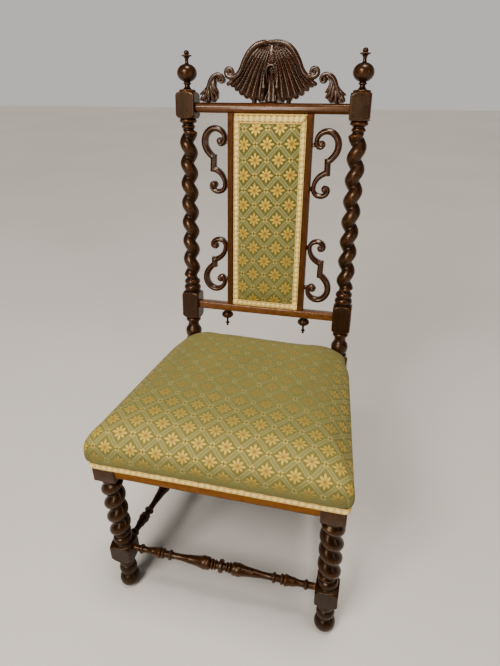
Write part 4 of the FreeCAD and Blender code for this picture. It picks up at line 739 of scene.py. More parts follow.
for side in (-1, 1):
    front_leg(side)
    rear_post(side)
    word = "left" if side < 0 else "right"
    lathe_piece("turned_finial_" + word, "finial_" + word, FINIAL, lambda v, s=side: back(v + np.array([s * 171.5, 0, 603.5])))
    lathe_piece("turned_pendant_" + word, "pendant_" + word, PENDANT, lambda v, s=side: back(v + np.array([s * 88.0, 0, 151.3])), mat=SHADED_LEG_WALNUT, nth=40)
    fy = 417.0 + (352.5 - 417.0) * 106.0 / 312.0
    spindle("turned_side_stretcher_" + word, "side_stretcher_" + word, axis_place((side * 207.4, 21.8, 106.0), (side * 172.2, fy, 106.0), floor))
spindle("turned_front_stretcher", "front_stretcher", axis_place((-186.7, 0, 114.0), (186.7, 0, 114.0), floor))
rear_y = (417.0 + (352.5 - 417.0) * 150.0 / 312.0 + 449.0 + (392.5 - 449.0) * 150.0 / 312.0) / 2
lathe_piece("turned_rear_stretcher", "rear_stretcher",
            [(4.9, -165.8), (4.9, -151.6), (6.4, -151.4), (6.4, -140.0, 1.6), (9.6, -42.0), (9.6, -8.0), (8.6, -7.2), (8.9, -5.6, 1.9), (8.9, 5.6), (8.6, 7.2), (9.6, 8.0), (9.6, 42.0, 1.6),
             (6.4, 140.0), (6.4, 151.4), (4.9, 151.6), (4.9, 165.8)], axis_place((-151.5, rear_y, 150.0), (151.5, rear_y, 150.0), floor))


# -------------------------------------------------------------- straight bars
def round_poly(pts, rad, n=5):
    """Polygon with every corner rounded; rad is one number or one per corner."""
    P = np.asarray(pts, float)
    k = len(P)
    rads = np.broadcast_to(np.asarray(rad, float), (k,))
    out = []
    for i in range(k):
        a, b, c = P[i - 1], P[i], P[(i + 1) % k]
        u, w = (a - b) / np.linalg.norm(a - b), (c - b) / np.linalg.norm(c - b)
        r = rads[i]
        if r < 1e-3:
            out.append(b)
            continue
        ang = math.acos(max(-1, min(1, float(u @ w))))
        tl = r / math.tan(ang / 2)
        m = (u + w) / np.linalg.norm(u + w)
        ctr = b + m * r / math.sin(ang / 2)
        p0, p1 = b + u * tl - ctr, b + w * tl - ctr
        a0, a1 = math.atan2(p0[1], p0[0]), math.atan2(p1[1], p1[0])
        da = (a1 - a0 + math.pi) % (2 * math.pi) - math.pi
        for j in range(n + 1):
            w_ = a0 + da * j / n
            out.append(ctr + r * np.array([math.cos(w_), math.sin(w_)]))
    return np.array(out)


def bar(name, node, section, stations, axis, place, mat, waver=0.0):
    """Straight length with a rounded section. axis is the local axis it runs along."""
    rings = []
    for i, t in enumerate(stations):
        sec = section.copy()
        if waver:
            sec = sec + waver * np.array([math.sin(t * 0.031 + 1.3), math.sin(t * 0.023)])
        if axis == 0:
            rings.append(np.stack([np.full(len(sec), t), sec[:, 0], sec[:, 1]], -1))
        else:
            rings.append(np.stack([sec[:, 0], sec[:, 1], np.full(len(sec), t)], -1))
    rings = np.array(rings)
    v, f = tube_mesh(rings)
    g = v if axis == 0 else np.stack([v[:, 2], v[:, 0], v[:, 1]], 1)
    return make(name, place(v), f, mat, (node,), 40, g, (6, 1.2))


sec = round_poly([(-6.5, 565.0), (12.0, 565.0), (12.0, 584.3), (-3.6, 584.3), (-10.2, 580.9), (-12.0, 576.0), (-12.0, 570.5)], [3.5, 1.5, 1.5, 5.0, 5.0, 4.0, 4.5])
bar("moulded_crest_rail", "crest_rail", sec, np.linspace(-169.5, 169.5, 90), 0, back, REDWOOD)
sec = round_poly([(-12.0, 151.3), (10.0, 151.3), (10.0, 166.9), (-12.0, 166.9)], [1.8, 1.2, 1.2, 2.0])
bar("moulded_lower_back_rail", "lower_back_rail", sec, np.linspace(-169.5, 169.5, 90), 0, back, REDWOOD)
for side in (-1, 1):
    word = "left" if side < 0 else "right"
    sec = round_poly([(side * 85.3, -10.5), (side * 73.6, -10.5), (side * 73.6, -4.6), (side * 61.6, -4.6), (side * 61.6, 9.5), (side * 85.3, 9.5)], [1.3, 0.8, 0.0, 0.4, 0.4, 1.0])
    bar("panel_stile_bar_" + word, "panel_stile_" + word, sec, np.linspace(166.9, 565.0, 100), 2, back, STILEWOOD)
sec = round_poly([(-19.0, 324.0), (3.0, 324.0), (3.0, 376.0), (-19.0, 376.0)], [1.6, 1.0, 0.6, 1.0])
bar("front_rail_bar", "front_seat_rail", sec, np.linspace(-186.7, 186.7, 100), 0, floor, FRONTWOOD)
sec = round_poly([(361.5, 324.0), (383.5, 324.0), (383.5, 376.0), (361.5, 376.0)], [1.0, 1.2, 0.6, 0.6])
bar("rear_rail_bar", "rear_seat_rail", sec, np.linspace(-151.5, 151.5, 60), 0, floor, BEECH_POLISHED)
for side in (-1, 1):
    word = "left" if side < 0 else "right"
    rings = []
    sec = round_poly([(0.0, 324.0), (22.0, 324.0), (22.0, 376.0), (0.0, 376.0)], [1.0, 1.4, 0.6, 0.6])
    for y in np.linspace(21.8, 352.5, 60):
        xo = 227.3 + (188.5 - 227.3) * (y - 21.8) / (352.5 - 21.8)
        rings.append(np.stack([side * (xo - 22.0 + sec[:, 0]), np.full(len(sec), y), sec[:, 1]], -1))
    v, f = tube_mesh(np.array(rings))
    make("side_rail_bar_" + word, floor(v), f, BEECH_POLISHED, ("side_seat_rail_" + word,), 40, np.stack([v[:, 1], v[:, 0], v[:, 2]], 1), (6, 1.2))


# ------------------------------------------------------------------- carving
def sweep(path, width, front, rear, ridge):
    """Moulded band along a path in the plane of the back: (n, 2) points, widths across,
    depth of the front edges, of the back and of the raised middle."""
    path = np.asarray(path, float)
    n = len(path)
    width, front, ridge = (np.broadcast_to(np.asarray(a, float), (n,)) for a in (width, front, ridge))
    tan = np.gradient(path, axis=0)
    tan /= np.linalg.norm(tan, axis=1)[:, None]
    nor = np.stack([-tan[:, 1], tan[:, 0]], 1)
    prof = [(-0.5, 1.0), (-0.5, 0.14), (-0.47, 0.03), (-0.42, -0.10), (-0.08, -0.93), (0.0, -1.0), (0.08, -0.93), (0.42, -0.10), (0.47, 0.03), (0.5, 0.14), (0.5, 1.0)]
    rings = []
    for i in range(n):
        row = []
        for a, h in prof:
            xy = path[i] + nor[i] * a * width[i]
            d = front[i] + (rear - front[i]) * h if h >= 0 else front[i] + h * (front[i] - ridge[i])
            row.append((xy[0], d, xy[1]))
        rings.append(row)
    return tube_mesh(np.array(rings))


def tube(path, rad, flat=1.0, n=12):
    """Round rib along (x, depth, s) points with a radius at each, closed by rounded ends."""
    path = np.asarray(path, float)
    rad = np.broadcast_to(np.asarray(rad, float), (len(path),)).copy()
    tan = np.gradient(path, axis=0)
    tan /= np.linalg.norm(tan, axis=1)[:, None]
    rows = []
    ext = []
    for k in (0.97, 0.8, 0.5):
        ext.append(k)
    start = [(path[0] - tan[0] * rad[0] * k, rad[0] * math.sqrt(1 - k * k), tan[0]) for k in ext]
    stop = [(path[-1] + tan[-1] * rad[-1] * k, rad[-1] * math.sqrt(1 - k * k), tan[-1]) for k in ext[::-1]]
    line = start + [(p, r, t) for p, r, t in zip(path, rad, tan)] + stop
    depth = np.array([0, 1.0, 0])
    for p, r, t in line:
        e1 = np.cross(depth, t)
        e1 /= max(np.linalg.norm(e1), 1e-6)
        e2 = np.cross(t, e1)
        th = np.linspace(0, 2 * math.pi, n, endpoint=False)
        rows.append(p + r * np.cos(th)[:, None] * e1 + r * flat * np.sin(th)[:, None] * e2)
    return tube_mesh(np.array(rows))


def dome(x, s, rad, front, rear, n=28):
    """Round boss, its axis along the depth, domed towards the front."""
    prof = [(1.0, 1.0), (1.0, 0.25), (0.96, 0.12), (0.84, 0.04), (0.62, 0.0)]
    th = np.linspace(0, 2 * math.pi, n, endpoint=False)
    rows = [np.stack([x + rad * r * np.cos(th), np.full(n, front + (rear - front) * h), s + rad * r * np.sin(th)], -1) for r, h in prof]
    return tube_mesh(np.array(rows))


def slab(outline, front, rear):
    pts = np.asarray(outline, float)
    n = len(pts)
    a = np.stack([pts[:, 0], np.full(n, front), pts[:, 1]], -1)
    b = np.stack([pts[:, 0], np.full(n, rear), pts[:, 1]], -1)
    faces = quads(2, n, False, True)
    return np.vstack([a, b]), faces + [list(range(n))[::-1], list(range(n, 2 * n))]


def carve(name, parts, node, voxel, grain_axis, passes=3, trim=None, painted_shade=None, keep=None):
    """Union of overlapping solids as one carved skin."""
    v, f = join(parts)
    me = bpy.data.meshes.new(name + "_rough")
    me.from_pydata(v.tolist(), [], f)
    bm = bmesh.new()
    bm.from_mesh(me)
    bmesh.ops.recalc_face_normals(bm, faces=bm.faces)
    bm.to_mesh(me)
    bm.free()
    ob = bpy.data.objects.new(name + "_rough", me)
    bpy.context.scene.collection.objects.link(ob)
    md = ob.modifiers.new("union", "REMESH")
    md.mode = "VOXEL"
    md.voxel_size = voxel
    md.adaptivity = 0.0
    sm = ob.modifiers.new("ease", "SMOOTH")
    sm.factor = 0.5
    sm.iterations = passes
    if keep:
        # flat areas need fewer faces than the reeds
        ob.modifiers.new("thin", "DECIMATE").ratio = keep
    dg = bpy.context.evaluated_depsgraph_get()
    done = bpy.data.meshes.new_from_object(ob.evaluated_get(dg))
    co = np.zeros(len(done.vertices) * 3)
    done.vertices.foreach_get("co", co)
    co = co.reshape(-1, 3)
    faces = [list(p.vertices) for p in done.polygons]
    bpy.data.objects.remove(ob)
    if trim is not None:
        co = trim(co)
    g = co[:, [2, 0, 1]] if grain_axis == 2 else co[:, [0, 1, 2]]
    piece = make(name, back(co), faces, CARVED, (node,), None, g, (10, 1.6), {"painted_shade": painted_shade(co)} if painted_shade else None, recalc=False)
    return piece


# scroll brackets: the large curl, its eye, the small reversed curl, its eye
BRACKETS = {
    "scroll_bracket_upper_left": (-1, (115.0, 511.0), (108.0, 426.5)),
    "scroll_bracket_upper_right": (1, (115.0, 509.5), (107.4, 426.5)),
    "scroll_bracket_lower_left": (-1, (115.6, 224.5), (107.0, 297.5)),
    "scroll_bracket_lower_right": (1, (114.6, 219.5), (107.2, 306.5)),
}
# ridge line of the large curl about its centre, from inside the eye to the link: x, s, width
LARGE_CURL = np.array([(-11.8, 2.2, 3.6), (-8.6, 0.2, 5.0), (-9.8, -3.6, 6.8), (-14.6, -4.8, 8.4), (-19.2, -1.6, 9.0), (-21.6, 5.0, 9.0), (-20.6, 12.4, 9.6), (-16.2, 19.2, 10.6), (-9.1, 24.0, 11.6),
                       (-0.3, 25.6, 12.3), (8.6, 23.0, 12.8), (15.9, 16.5, 13.2), (20.4, 7.5, 13.4), (21.2, -1.7, 13.4), (19.2, -10.8, 13.3), (14.6, -18.8, 13.1), (8.8, -25.2, 12.8), (2.4, -30.6, 12.4)])
# ridge line of the small curl about its centre, from the link into the eye
SMALL_CURL = np.array([(10.4, 32.6, 12.2), (0.4, 27.8, 11.6), (-8.0, 20.6, 10.6), (-12.9, 12.0, 9.6), (-15.0, 2.7, 9.0), (-14.2, -5.0, 9.4), (-8.4, -11.8, 10.4), (1.8, -13.7, 10.6), (10.6, -10.2, 9.6),
                       (14.8, -3.4, 8.2), (13.4, 2.8, 6.6), (8.6, 4.2, 5.0), (5.6, 1.0, 3.6)])


def bracket(name):
    side, big, small = BRACKETS[name]
    up = 1 if big[1] > small[1] else -1
    flip = np.array([1.0, up, 1.0])
    large = LARGE_CURL * flip + np.array([big[0], big[1], 0.0])
    little = SMALL_CURL * flip + np.array([small[0], small[1], 0.0])
    parts = []
    path = spline(large, 170)
    parts.append(sweep(path[:, :2], path[:, 2], -4.4, 5.6, -8.8))
    path = spline(little, 140)
    parts.append(sweep(path[:, :2], path[:, 2], -4.4, 5.6, -8.6))
    # straight link, its ends standing a little proud of the curls
    a, b = large[-1, :2] + np.array([-0.2, up * 6.4]), little[0, :2] + np.array([0.2, -up * 7.0])
    line = a + (b - a) * np.linspace(0, 1, 24)[:, None]
    parts.append(sweep(line, 12.4, -4.2, 5.5, -8.4))
    # domed eyes
    for ctr, p, rad in ((big, (-11.6, 1.2), 4.4), (small, (8.2, 0.2), 4.2)):
        x, s = ctr[0] + p[0], ctr[1] + up * p[1]
        parts.append(dome(x, s, rad, -9.0, 5.4))
        parts.append(dome(x, s, rad + 3.4, -4.2, 5.2))
    # small seats against the stile
    for z in (big[1], small[1]):
        parts.append(slab([(85.6, z - 4.2), (90.5, z - 4.2), (90.5, z + 4.2), (85.6, z + 4.2)], -4.2, 4.4))
    out = []
    for v, f in parts:
        v = np.array(v)
        v[:, 0] = np.maximum(v[:, 0], 85.4)
        v[:, 0] *= side
        out.append((v, f))
    carve("carved_" + name, out, name, 0.8, 2, 4)


for name in BRACKETS:
    bracket(name)


def rib(points, radii, depths, n=60, flat=1.0):
    """Rib through (x, s) points with radii and depths given at the same points."""
    c = spline(np.column_stack([points, radii, depths]), n)
    return tube(np.stack([c[:, 0], c[:, 3], c[:, 1]], 1), c[:, 2], flat, 20)


# reeds of the shell, from the rim down to its lower edge, inner one first: x, s
REEDS = np.array([
    [(2.4, 682.6), (5.6, 666.0), (10.6, 650.0), (13.8, 630.0), (15.4, 609.0), (15.6, 590.0)],
    [(4.2, 683.0), (9.4, 668.0), (16.8, 648.0), (23.2, 624.0), (28.0, 603.0), (30.6, 589.4)],
    [(6.0, 683.4), (13.2, 670.0), (22.8, 650.6), (32.0, 627.0), (39.6, 604.0), (43.8, 591.0)],
    [(8.0, 683.6), (17.4, 671.6), (28.8, 653.4), (39.4, 631.6), (49.2, 609.4), (55.6, 595.6)],
    [(10.6, 683.4), (21.8, 673.0), (34.4, 656.2), (45.4, 636.4), (56.2, 617.4), (66.0, 603.6)],
    [(13.6, 683.0), (26.2, 673.6), (39.6, 658.0), (50.2, 640.4), (61.4, 623.4), (74.8, 610.0)],
    [(17.6, 684.0), (33.0, 675.2), (46.4, 660.6), (55.6, 644.6), (65.4, 629.6), (83.0, 617.0)]])


def shell_fan(side):
    """Hollow flutes between narrow reeds, each ending in a round lobe."""
    nt, nf = 72, 14
    lines = np.array([spline(r, nt) for r in REEDS])
    grid = np.linspace(0, 1, nt)
    front = []
    for j in range(len(REEDS) - 1):
        for f in np.linspace(0, 1, nf)[(1 if j else 0):]:
            tau = np.linspace(0, 1, nt)
            t = tau * (1.0 + 0.055 * (1 - abs(2 * f - 1) ** 2.6)) - 0.035 * tau
            xy = np.stack([np.interp(np.minimum(t, 1.0), grid, (1 - f) * lines[j, :, c] + f * lines[j + 1, :, c]) for c in range(2)], 1)
            tail = (1 - f) * (lines[j, -1] - lines[j, -3]) + f * (lines[j + 1, -1] - lines[j + 1, -3])
            xy += np.maximum(t - 1.0, 0)[:, None] * tail * (nt - 1) / 2
            reed = math.exp(-(f / 0.15) ** 2) + math.exp(-((1 - f) / 0.15) ** 2)
            ground = np.interp(tau, [0, 0.12, 0.28, 0.5, 0.75, 1.0], [-3.0, -7.0, -9.2, -9.8, -9.4, -7.6])
            relief = np.interp(tau, [0, 0.12, 0.35, 0.7, 0.92, 1.0], [0.0, 0.9, 3.2, 4.2, 4.0, 3.2])
            depth = ground - relief * (0.84 * reed - 0.56 * math.sin(math.pi * f)) + 4.0 * smooth01(tau, 0.93, 1.0)
            front.append(np.stack([side * xy[:, 0], depth, xy[:, 1]], -1))
    front = np.array(front)
    nc = len(front)
    rear = front.copy()
    rear[:, :, 1] = 7.6
    v = np.vstack([front.reshape(-1, 3), rear.reshape(-1, 3)])
    k = nc * nt
    faces = []
    for i in range(nc - 1):
        for j in range(nt - 1):
            q = [i * nt + j, i * nt + j + 1, (i + 1) * nt + j + 1, (i + 1) * nt + j]
            faces += [q, [k + a for a in q[::-1]]]
    edge = [j for j in range(nt)] + [i * nt + nt - 1 for i in range(1, nc)] + [(nc - 1) * nt + j for j in range(nt - 2, -1, -1)] + [i * nt for i in range(nc - 2, 0, -1)]
    for a, b in zip(edge, edge[1:] + edge[:1]):
        faces.append([a, k + a, k + b, b])
    return v, faces


def crest_shell():
    parts = []
    body = [(0, 687.0), (16, 686.0), (31, 679.6), (42.4, 668.0), (52, 651.0), (59, 636.0), (68, 627.0), (80, 624.0), (80.0, 620.0), (72, 615.5), (63, 609.0),
            (54, 602.0), (46, 598.0), (37, 596.5), (22, 594.0), (20, 585.0)]
    # the plate, with a niche let into its middle
    for sx in (-1, 1):
        half = body + [(9.4, 585.0), (9.4, 636.0), (8.2, 642.0), (4.6, 647.0), (0, 648.6)]
        parts.append(slab([(sx * x, z) for x, z in half], 0.4, 8.6))
    parts.append(slab([(-11.0, 586.0), (11.0, 586.0), (11.0, 650.0), (-11.0, 650.0)], 4.6, 8.6))
    # field between the inner reeds, above the niche
    parts.append(slab([(-3.4, 683.0), (3.4, 683.0), (6.6, 666.0), (10.6, 651.0), (10.0, 647.6), (4.6, 650.4), (0, 651.4), (-4.6, 650.4), (-10.0, 647.6), (-10.6, 651.0), (-6.6, 666.0)], -5.0, 5.0))
    for x, r in ((0.0, 1.5), (-2.6, 1.1), (2.6, 1.1)):
        parts.append(rib([(x * 0.5, 682.4), (x, 668.0), (x * 1.5, 653.0)], [0.7, r, r], [-4.6, -6.2, -7.2], 40))
    for sx in (-1, 1):
        m = np.array([sx, 1.0])
        # rolled rim that runs down the side and curls up into a volute
        pts = np.array([(-7.0, 688.0), (12.0, 687.4), (28.0, 683.4), (41.4, 673.0), (52.2, 656.4), (59.0, 641.2), (66.2, 632.4), (75.0, 628.8), (83.6, 629.4), (88.8, 635.0), (87.8, 641.2),
                        (82.6, 644.0), (77.0, 641.2), (76.2, 635.8), (80.2, 632.8), (83.8, 635.0), (83.0, 637.8)]) * m
        rad = [2.6, 4.0, 4.7, 5.0, 5.0, 5.0, 4.9, 4.8, 4.6, 4.4, 4.2, 4.0, 3.8, 3.5, 3.2, 3.0, 2.8]
        dep = [-6.6, -7.6, -8.2, -8.4, -8.4, -8.2, -7.8, -7.4, -7.2, -7.0, -7.0, -7.2, -7.6, -8.0, -8.6, -9.0, -9.4]
        if sx < 0:
            pts[0] = (-2.0, 686.8)
        parts.append(rib(pts, rad, dep, 190, 1.0))
        parts.append(dome(sx * 82.4, 637.0, 7.6, -6.0, 7.0))
        parts.append(shell_fan(sx))
        # short outer lobe under the volute
        parts.append(rib(np.array([(64.0, 629.6), (71.0, 624.6), (78.0, 621.0), (85.0, 617.0)]) * m, [2.0, 3.2, 3.8, 3.9], [-5.0, -6.0, -6.2, -5.8], 40, 0.8))
        # drop-shaped husk beside the niche
        parts.append(rib(np.array([(7.6, 657.0), (10.8, 645.0), (12.9, 630.0), (13.2, 619.0), (12.9, 612.0)]) * m, [0.7, 1.2, 1.6, 2.6, 4.6], [-7.6, -9.6, -10.8, -11.6, -10.8], 60))
        # leaf tips that come down on the rail
        parts.append(rib(np.array([(12.6, 607.0), (15.6, 598.4), (18.6, 589.6)]) * m, [1.8, 3.6, 2.8], [-6.4, -8.2, -7.4], 30, 0.8))
    # hood of the niche, the bud in it and the ridged tongue below
    th = np.radians(np.linspace(0, 180, 11))
    arch = np.vstack([[(7.2, 618.0), (8.2, 630.0)], np.stack([8.4 * np.cos(th), 640.6 + 8.6 * np.sin(th)], 1), [(-8.2, 630.0), (-7.2, 618.0)]])
    parts.append(rib(arch, [0.9, 1.5, 1.9] + [2.1] * 9 + [1.9, 1.5, 0.9], [-5.6, -8.6, -10.6] + [-11.6] * 9 + [-10.6, -8.6, -5.6], 90))
    parts.append(rib([(0.2, 646.6), (0.6, 642.6)], [1.2, 2.3], [-3.0, -4.6], 12))
    parts.append(slab([(-9.0, 586.0), (9.0, 586.0), (7.6, 602.0), (5.6, 620.0), (3.2, 636.0), (-3.2, 636.0), (-5.6, 620.0), (-7.6, 602.0)], -2.8, 6.0))
    parts.append(rib([(0.3, 640.0), (0, 628.0), (0, 608.0), (0, 589.4)], [0.9, 1.1, 1.2, 1.3], [-2.6, -3.0, -3.4, -4.0], 40))
    for sx in (-1, 1):
        parts.append(rib(np.array([(7.4, 600.0), (9.6, 593.0), (9.2, 587.6)]) * np.array([sx, 1.0]), [1.2, 2.4, 2.0], [-3.8, -5.0, -4.8], 24, 0.8))
    for x in (-34.0, 34.0):
        parts.append(slab([(x - 4.6, 584.4), (x + 4.6, 584.4), (x + 4.6, 598.0), (x - 4.6, 598.0)], 1.0, 6.2))
    parts.append(slab([(-25.0, 584.4), (25.0, 584.4), (27.0, 596.0), (-27.0, 596.0)], 0.6, 8.4))

    def trim(co):
        co = co.copy()
        co[:, 2] = np.maximum(co[:, 2], 584.35)
        co[:, 1] = np.clip(co[:, 1], -14.4, 8.9)
        return co
    # painted shade in the niche and on the base behind the leaf tips
    carve("carved_crest_shell", parts, "crest_shell", 0.6, 2, 12, trim, lambda co: 0.75 * smooth01(co[:, 1], -3.4, -0.6) * smooth01(co[:, 2], 664.0, 650.0), 0.54)


def crest_leaf(side):
    m = np.array([side, 1.0])
    parts = []
    body = np.array([(108.0, 632.0), (119.0, 626.0), (125.0, 616.0), (131.0, 606.0), (139.0, 599.0), (142.0, 591.0), (139.0, 585.0), (114.0, 585.0), (107.0, 592.0), (106.4, 603.0),
                     (111.0, 612.0), (111.0, 620.0), (105.0, 627.0)]) * m
    parts.append(slab(body, -2.6, 7.4))
    # volute and the stem that runs over the top
    stem = np.array([(101.4, 625.0), (102.6, 621.8), (99.4, 619.4), (95.4, 621.8), (94.6, 627.0), (98.2, 632.0), (105.6, 633.8), (113.8, 630.8), (120.2, 624.0), (124.2, 615.0), (127.6, 606.0), (131.0, 598.0), (134.6, 590.6)]) * m
    parts.append(rib(stem, [1.8, 2.0, 2.3, 2.6, 3.0, 3.4, 3.8, 4.2, 4.4, 4.2, 3.8, 3.4, 3.0], [-8.6, -8.2, -7.8, -7.4, -7.2, -7.2, -7.4, -7.4, -7.0, -6.6, -6.4, -6.4, -6.6], 130, 1.0))
    parts.append(dome(side * 99.4, 625.0, 7.2, -4.2, 6.4))
    blades = [
        ([(113.0, 629.0), (113.4, 618.0), (110.0, 609.0), (105.4, 603.4)], [1.8, 2.8, 2.8, 2.0], [-6.4, -7.2, -7.0, -6.0]),
        ([(116.0, 627.0), (116.2, 614.0), (112.0, 602.0), (106.6, 594.4)], [1.8, 3.0, 3.3, 2.4], [-6.4, -7.4, -7.4, -6.6]),
        ([(119.0, 623.0), (119.8, 610.0), (118.0, 598.0), (115.0, 588.6)], [1.8, 3.0, 3.5, 3.0], [-6.2, -7.2, -7.4, -7.0]),
        ([(123.0, 612.0), (124.6, 602.0), (125.0, 595.0), (124.6, 588.4)], [1.8, 2.8, 3.3, 3.1], [-6.0, -7.0, -7.2, -7.0]),
        ([(126.6, 613.0), (131.8, 606.0), (137.0, 601.4), (142.0, 599.0)], [2.2, 3.1, 3.0, 2.0], [-5.8, -6.6, -6.4, -5.6]),
        ([(130.0, 602.0), (135.0, 596.0), (138.6, 592.0), (140.6, 589.0)], [2.0, 3.0, 3.2, 2.8], [-6.0, -6.8, -6.8, -6.4]),
    ]
    for pts, rad, dep in blades:
        parts.append(rib(np.array(pts) * m, rad, dep, 40, 0.9))

    def trim(co):
        co = co.copy()
        co[:, 2] = np.maximum(co[:, 2], 584.35)
        co[:, 1] = np.clip(co[:, 1], -12.0, 7.9)
        return co
    word = "left" if side < 0 else "right"
    carve("carved_crest_leaf_" + word, parts, "crest_leaf_" + word, 0.7, 2, 3, trim)


crest_shell()
crest_leaf(-1)
crest_leaf(1)


# ---------------------------------------------------------------------- seat
def fillet_outline(corners, rads, counts, arc_n):
    """Closed outline through corners with rounded turns; fixed point counts so that rings match."""
    P = np.asarray(corners, float)
    k = len(P)
    ends = []
    for i in range(k):
        a, b, c = P[i - 1], P[i], P[(i + 1) % k]
        u, w = (a - b) / np.linalg.norm(a - b), (c - b) / np.linalg.norm(c - b)
        ang = math.acos(max(-1, min(1, float(u @ w))))
        r = rads[i]
        tl = r / math.tan(ang / 2)
        ctr = b + (u + w) / np.linalg.norm(u + w) * r / math.sin(ang / 2)
        p0, p1 = b + u * tl - ctr, b + w * tl - ctr
        a0, a1 = math.atan2(p0[1], p0[0]), math.atan2(p1[1], p1[0])
        da = (a1 - a0 + math.pi) % (2 * math.pi) - math.pi
        th = a0 + da * np.linspace(0, 1, arc_n[i])
        ends.append(ctr + r * np.stack([np.cos(th), np.sin(th)], 1))
    out = []
    for i in range(k):
        out.append(ends[i])
        a, b = ends[i][-1], ends[(i + 1) % k][0]
        w = np.linspace(0, 1, counts[i] + 2)[1:-1, None]
        out.append(a + (b - a) * w)
    return np.vstack(out)


def stretched(P, pinned, inside, pressure, cap, wrap):
    """Cover stretched over its stuffing: Blender's Cloth under a little pressure on a grid of points
    (rows, columns, 3) in metres, held where pinned. Gives how far each point moves."""
    nu, nv = P.shape[:2]
    verts = P.reshape(-1, 3)
    faces = quads(nu, nv, False, wrap)
    if wrap:
        verts = np.vstack([verts, P[-1].mean(0)])
        faces += [[nu * nv, (nu - 1) * nv + j, (nu - 1) * nv + (j + 1) % nv] for j in range(nv)]
    me = bpy.data.meshes.new("stretched_rough")
    me.from_pydata(verts.tolist(), [], faces)
    me.update()
    way = sum((f.center - Vector(inside)).dot(f.normal) for f in me.polygons)
    if way < 0:
        me.flip_normals()
    ob = bpy.data.objects.new("stretched_rough", me)
    bpy.context.scene.collection.objects.link(ob)
    ob.vertex_groups.new(name="tacked").add([int(i) for i in np.flatnonzero(pinned.reshape(-1))], 1.0, "REPLACE")
    md = ob.modifiers.new("cloth", "CLOTH")
    st = md.settings
    st.quality = 8
    st.mass = 0.3
    st.tension_stiffness = st.compression_stiffness = 18.0
    st.shear_stiffness = 6.0
    st.bending_stiffness = 1.5
    st.use_pressure = True
    st.uniform_pressure_force = pressure
    st.vertex_group_mass = "tacked"
    st.effector_weights.gravity = 0.0
    md.collision_settings.use_collision = False
    md.collision_settings.use_self_collision = False
    md.point_cache.frame_start, md.point_cache.frame_end = 1, 20
    scene = bpy.context.scene
    for frame_no in range(1, 21):
        scene.frame_set(frame_no)
    done = bpy.data.meshes.new_from_object(ob.evaluated_get(bpy.context.evaluated_depsgraph_get()))
    co = np.zeros(len(done.vertices) * 3)
    done.vertices.foreach_get("co", co)
    scene.frame_set(1)
    bpy.data.objects.remove(ob)
    bpy.data.meshes.remove(me)
    bpy.data.meshes.remove(done)
    move = (co.reshape(-1, 3) - verts)[:nu * nv].reshape(nu, nv, 3)
    far = np.linalg.norm(move, axis=-1, keepdims=True)
    return move * np.minimum(1.0, cap / np.maximum(far, 1e-9))


def spread(move, rows, cols, shape, wrap):
    """Moves of a coarse grid, given at some rows and columns, taken over to the full grid and eased."""
    nu, nv = shape
    out = np.zeros((nu, nv, 3))
    for k in range(3):
        if wrap:
            c = np.append(cols, nv)
            m = np.concatenate([move[..., k], move[:, :1, k]], 1)
        else:
            c, m = cols, move[..., k]
        wide = np.stack([np.interp(np.arange(nv), c, r) for r in m])
        out[..., k] = np.stack([np.interp(np.arange(nu), rows, wide[:, j]) for j in range(nv)], 1)
    for _ in range(4):
        pad = np.pad(out, ((1, 1), (0, 0), (0, 0)), "edge")
        out = 0.5 * out + 0.25 * (pad[:-2] + pad[2:])
        pad = np.pad(out, ((0, 0), (1, 1), (0, 0)), "wrap" if wrap else "edge")
        out = 0.5 * out + 0.25 * (pad[:, :-2] + pad[:, 2:])
    return out


def seat_outline(off, kf, kr):
    yf, yr = -21.8 - off, 383.5 + off

    def xs(y):
        return 232.7 + off - 0.1105 * (y + 21.8)
    corners = [(-xs(yf), yf), (xs(yf), yf), (xs(yr), yr), (-xs(yr), yr)]
    pts = fillet_outline(corners, [kf, kf, kr, kr], [92, 72, 60, 72], [16, 16, 22, 22])
    # drawn in where the cover is cut round the posts
    y = pts[:, 1]
    pull = smooth01(y, 300.0, 356.0) * smooth01(off, -40.0, 0.0) * 8.0
    pts[:, 0] -= np.sign(pts[:, 0]) * pull * smooth01(np.abs(pts[:, 0]), 120, 170)
    return pts


# height, growth beyond the frame, corner radii at the front and the rear
SEAT_LEVELS = np.array([
    (347.6, 0.8, 7.0, 20.0), (352.6, 1.1, 7.5, 21.0), (357.4, 2.4, 9.0, 24.0), (361.6, 5.2, 11.0, 29.0), (367.6, 7.6, 12.5, 32.0), (376.6, 8.6, 13.5, 34.0), (388.0, 8.6, 14.5, 34.0), (397.0, 7.6, 16.0, 35.0),
    (405.0, 4.6, 18.0, 37.0), (412.0, -0.8, 21.0, 40.0), (418.4, -8.6, 26.0, 44.0), (424.0, -18.0, 32.0, 50.0), (429.0, -29.0, 40.0, 58.0), (433.6, -43.0, 50.0, 68.0), (437.6, -60.0, 62.0, 78.0), (440.8, -80.0, 72.0, 84.0), (443.0, -102.0, 72.0, 80.0)])


def lerp_levels(levels, n):
    """Rings at equal steps along the section of the edge."""
    c = spline(levels[:, [1, 0, 2, 3]], n)
    return c[:, [1, 0, 2, 3]]


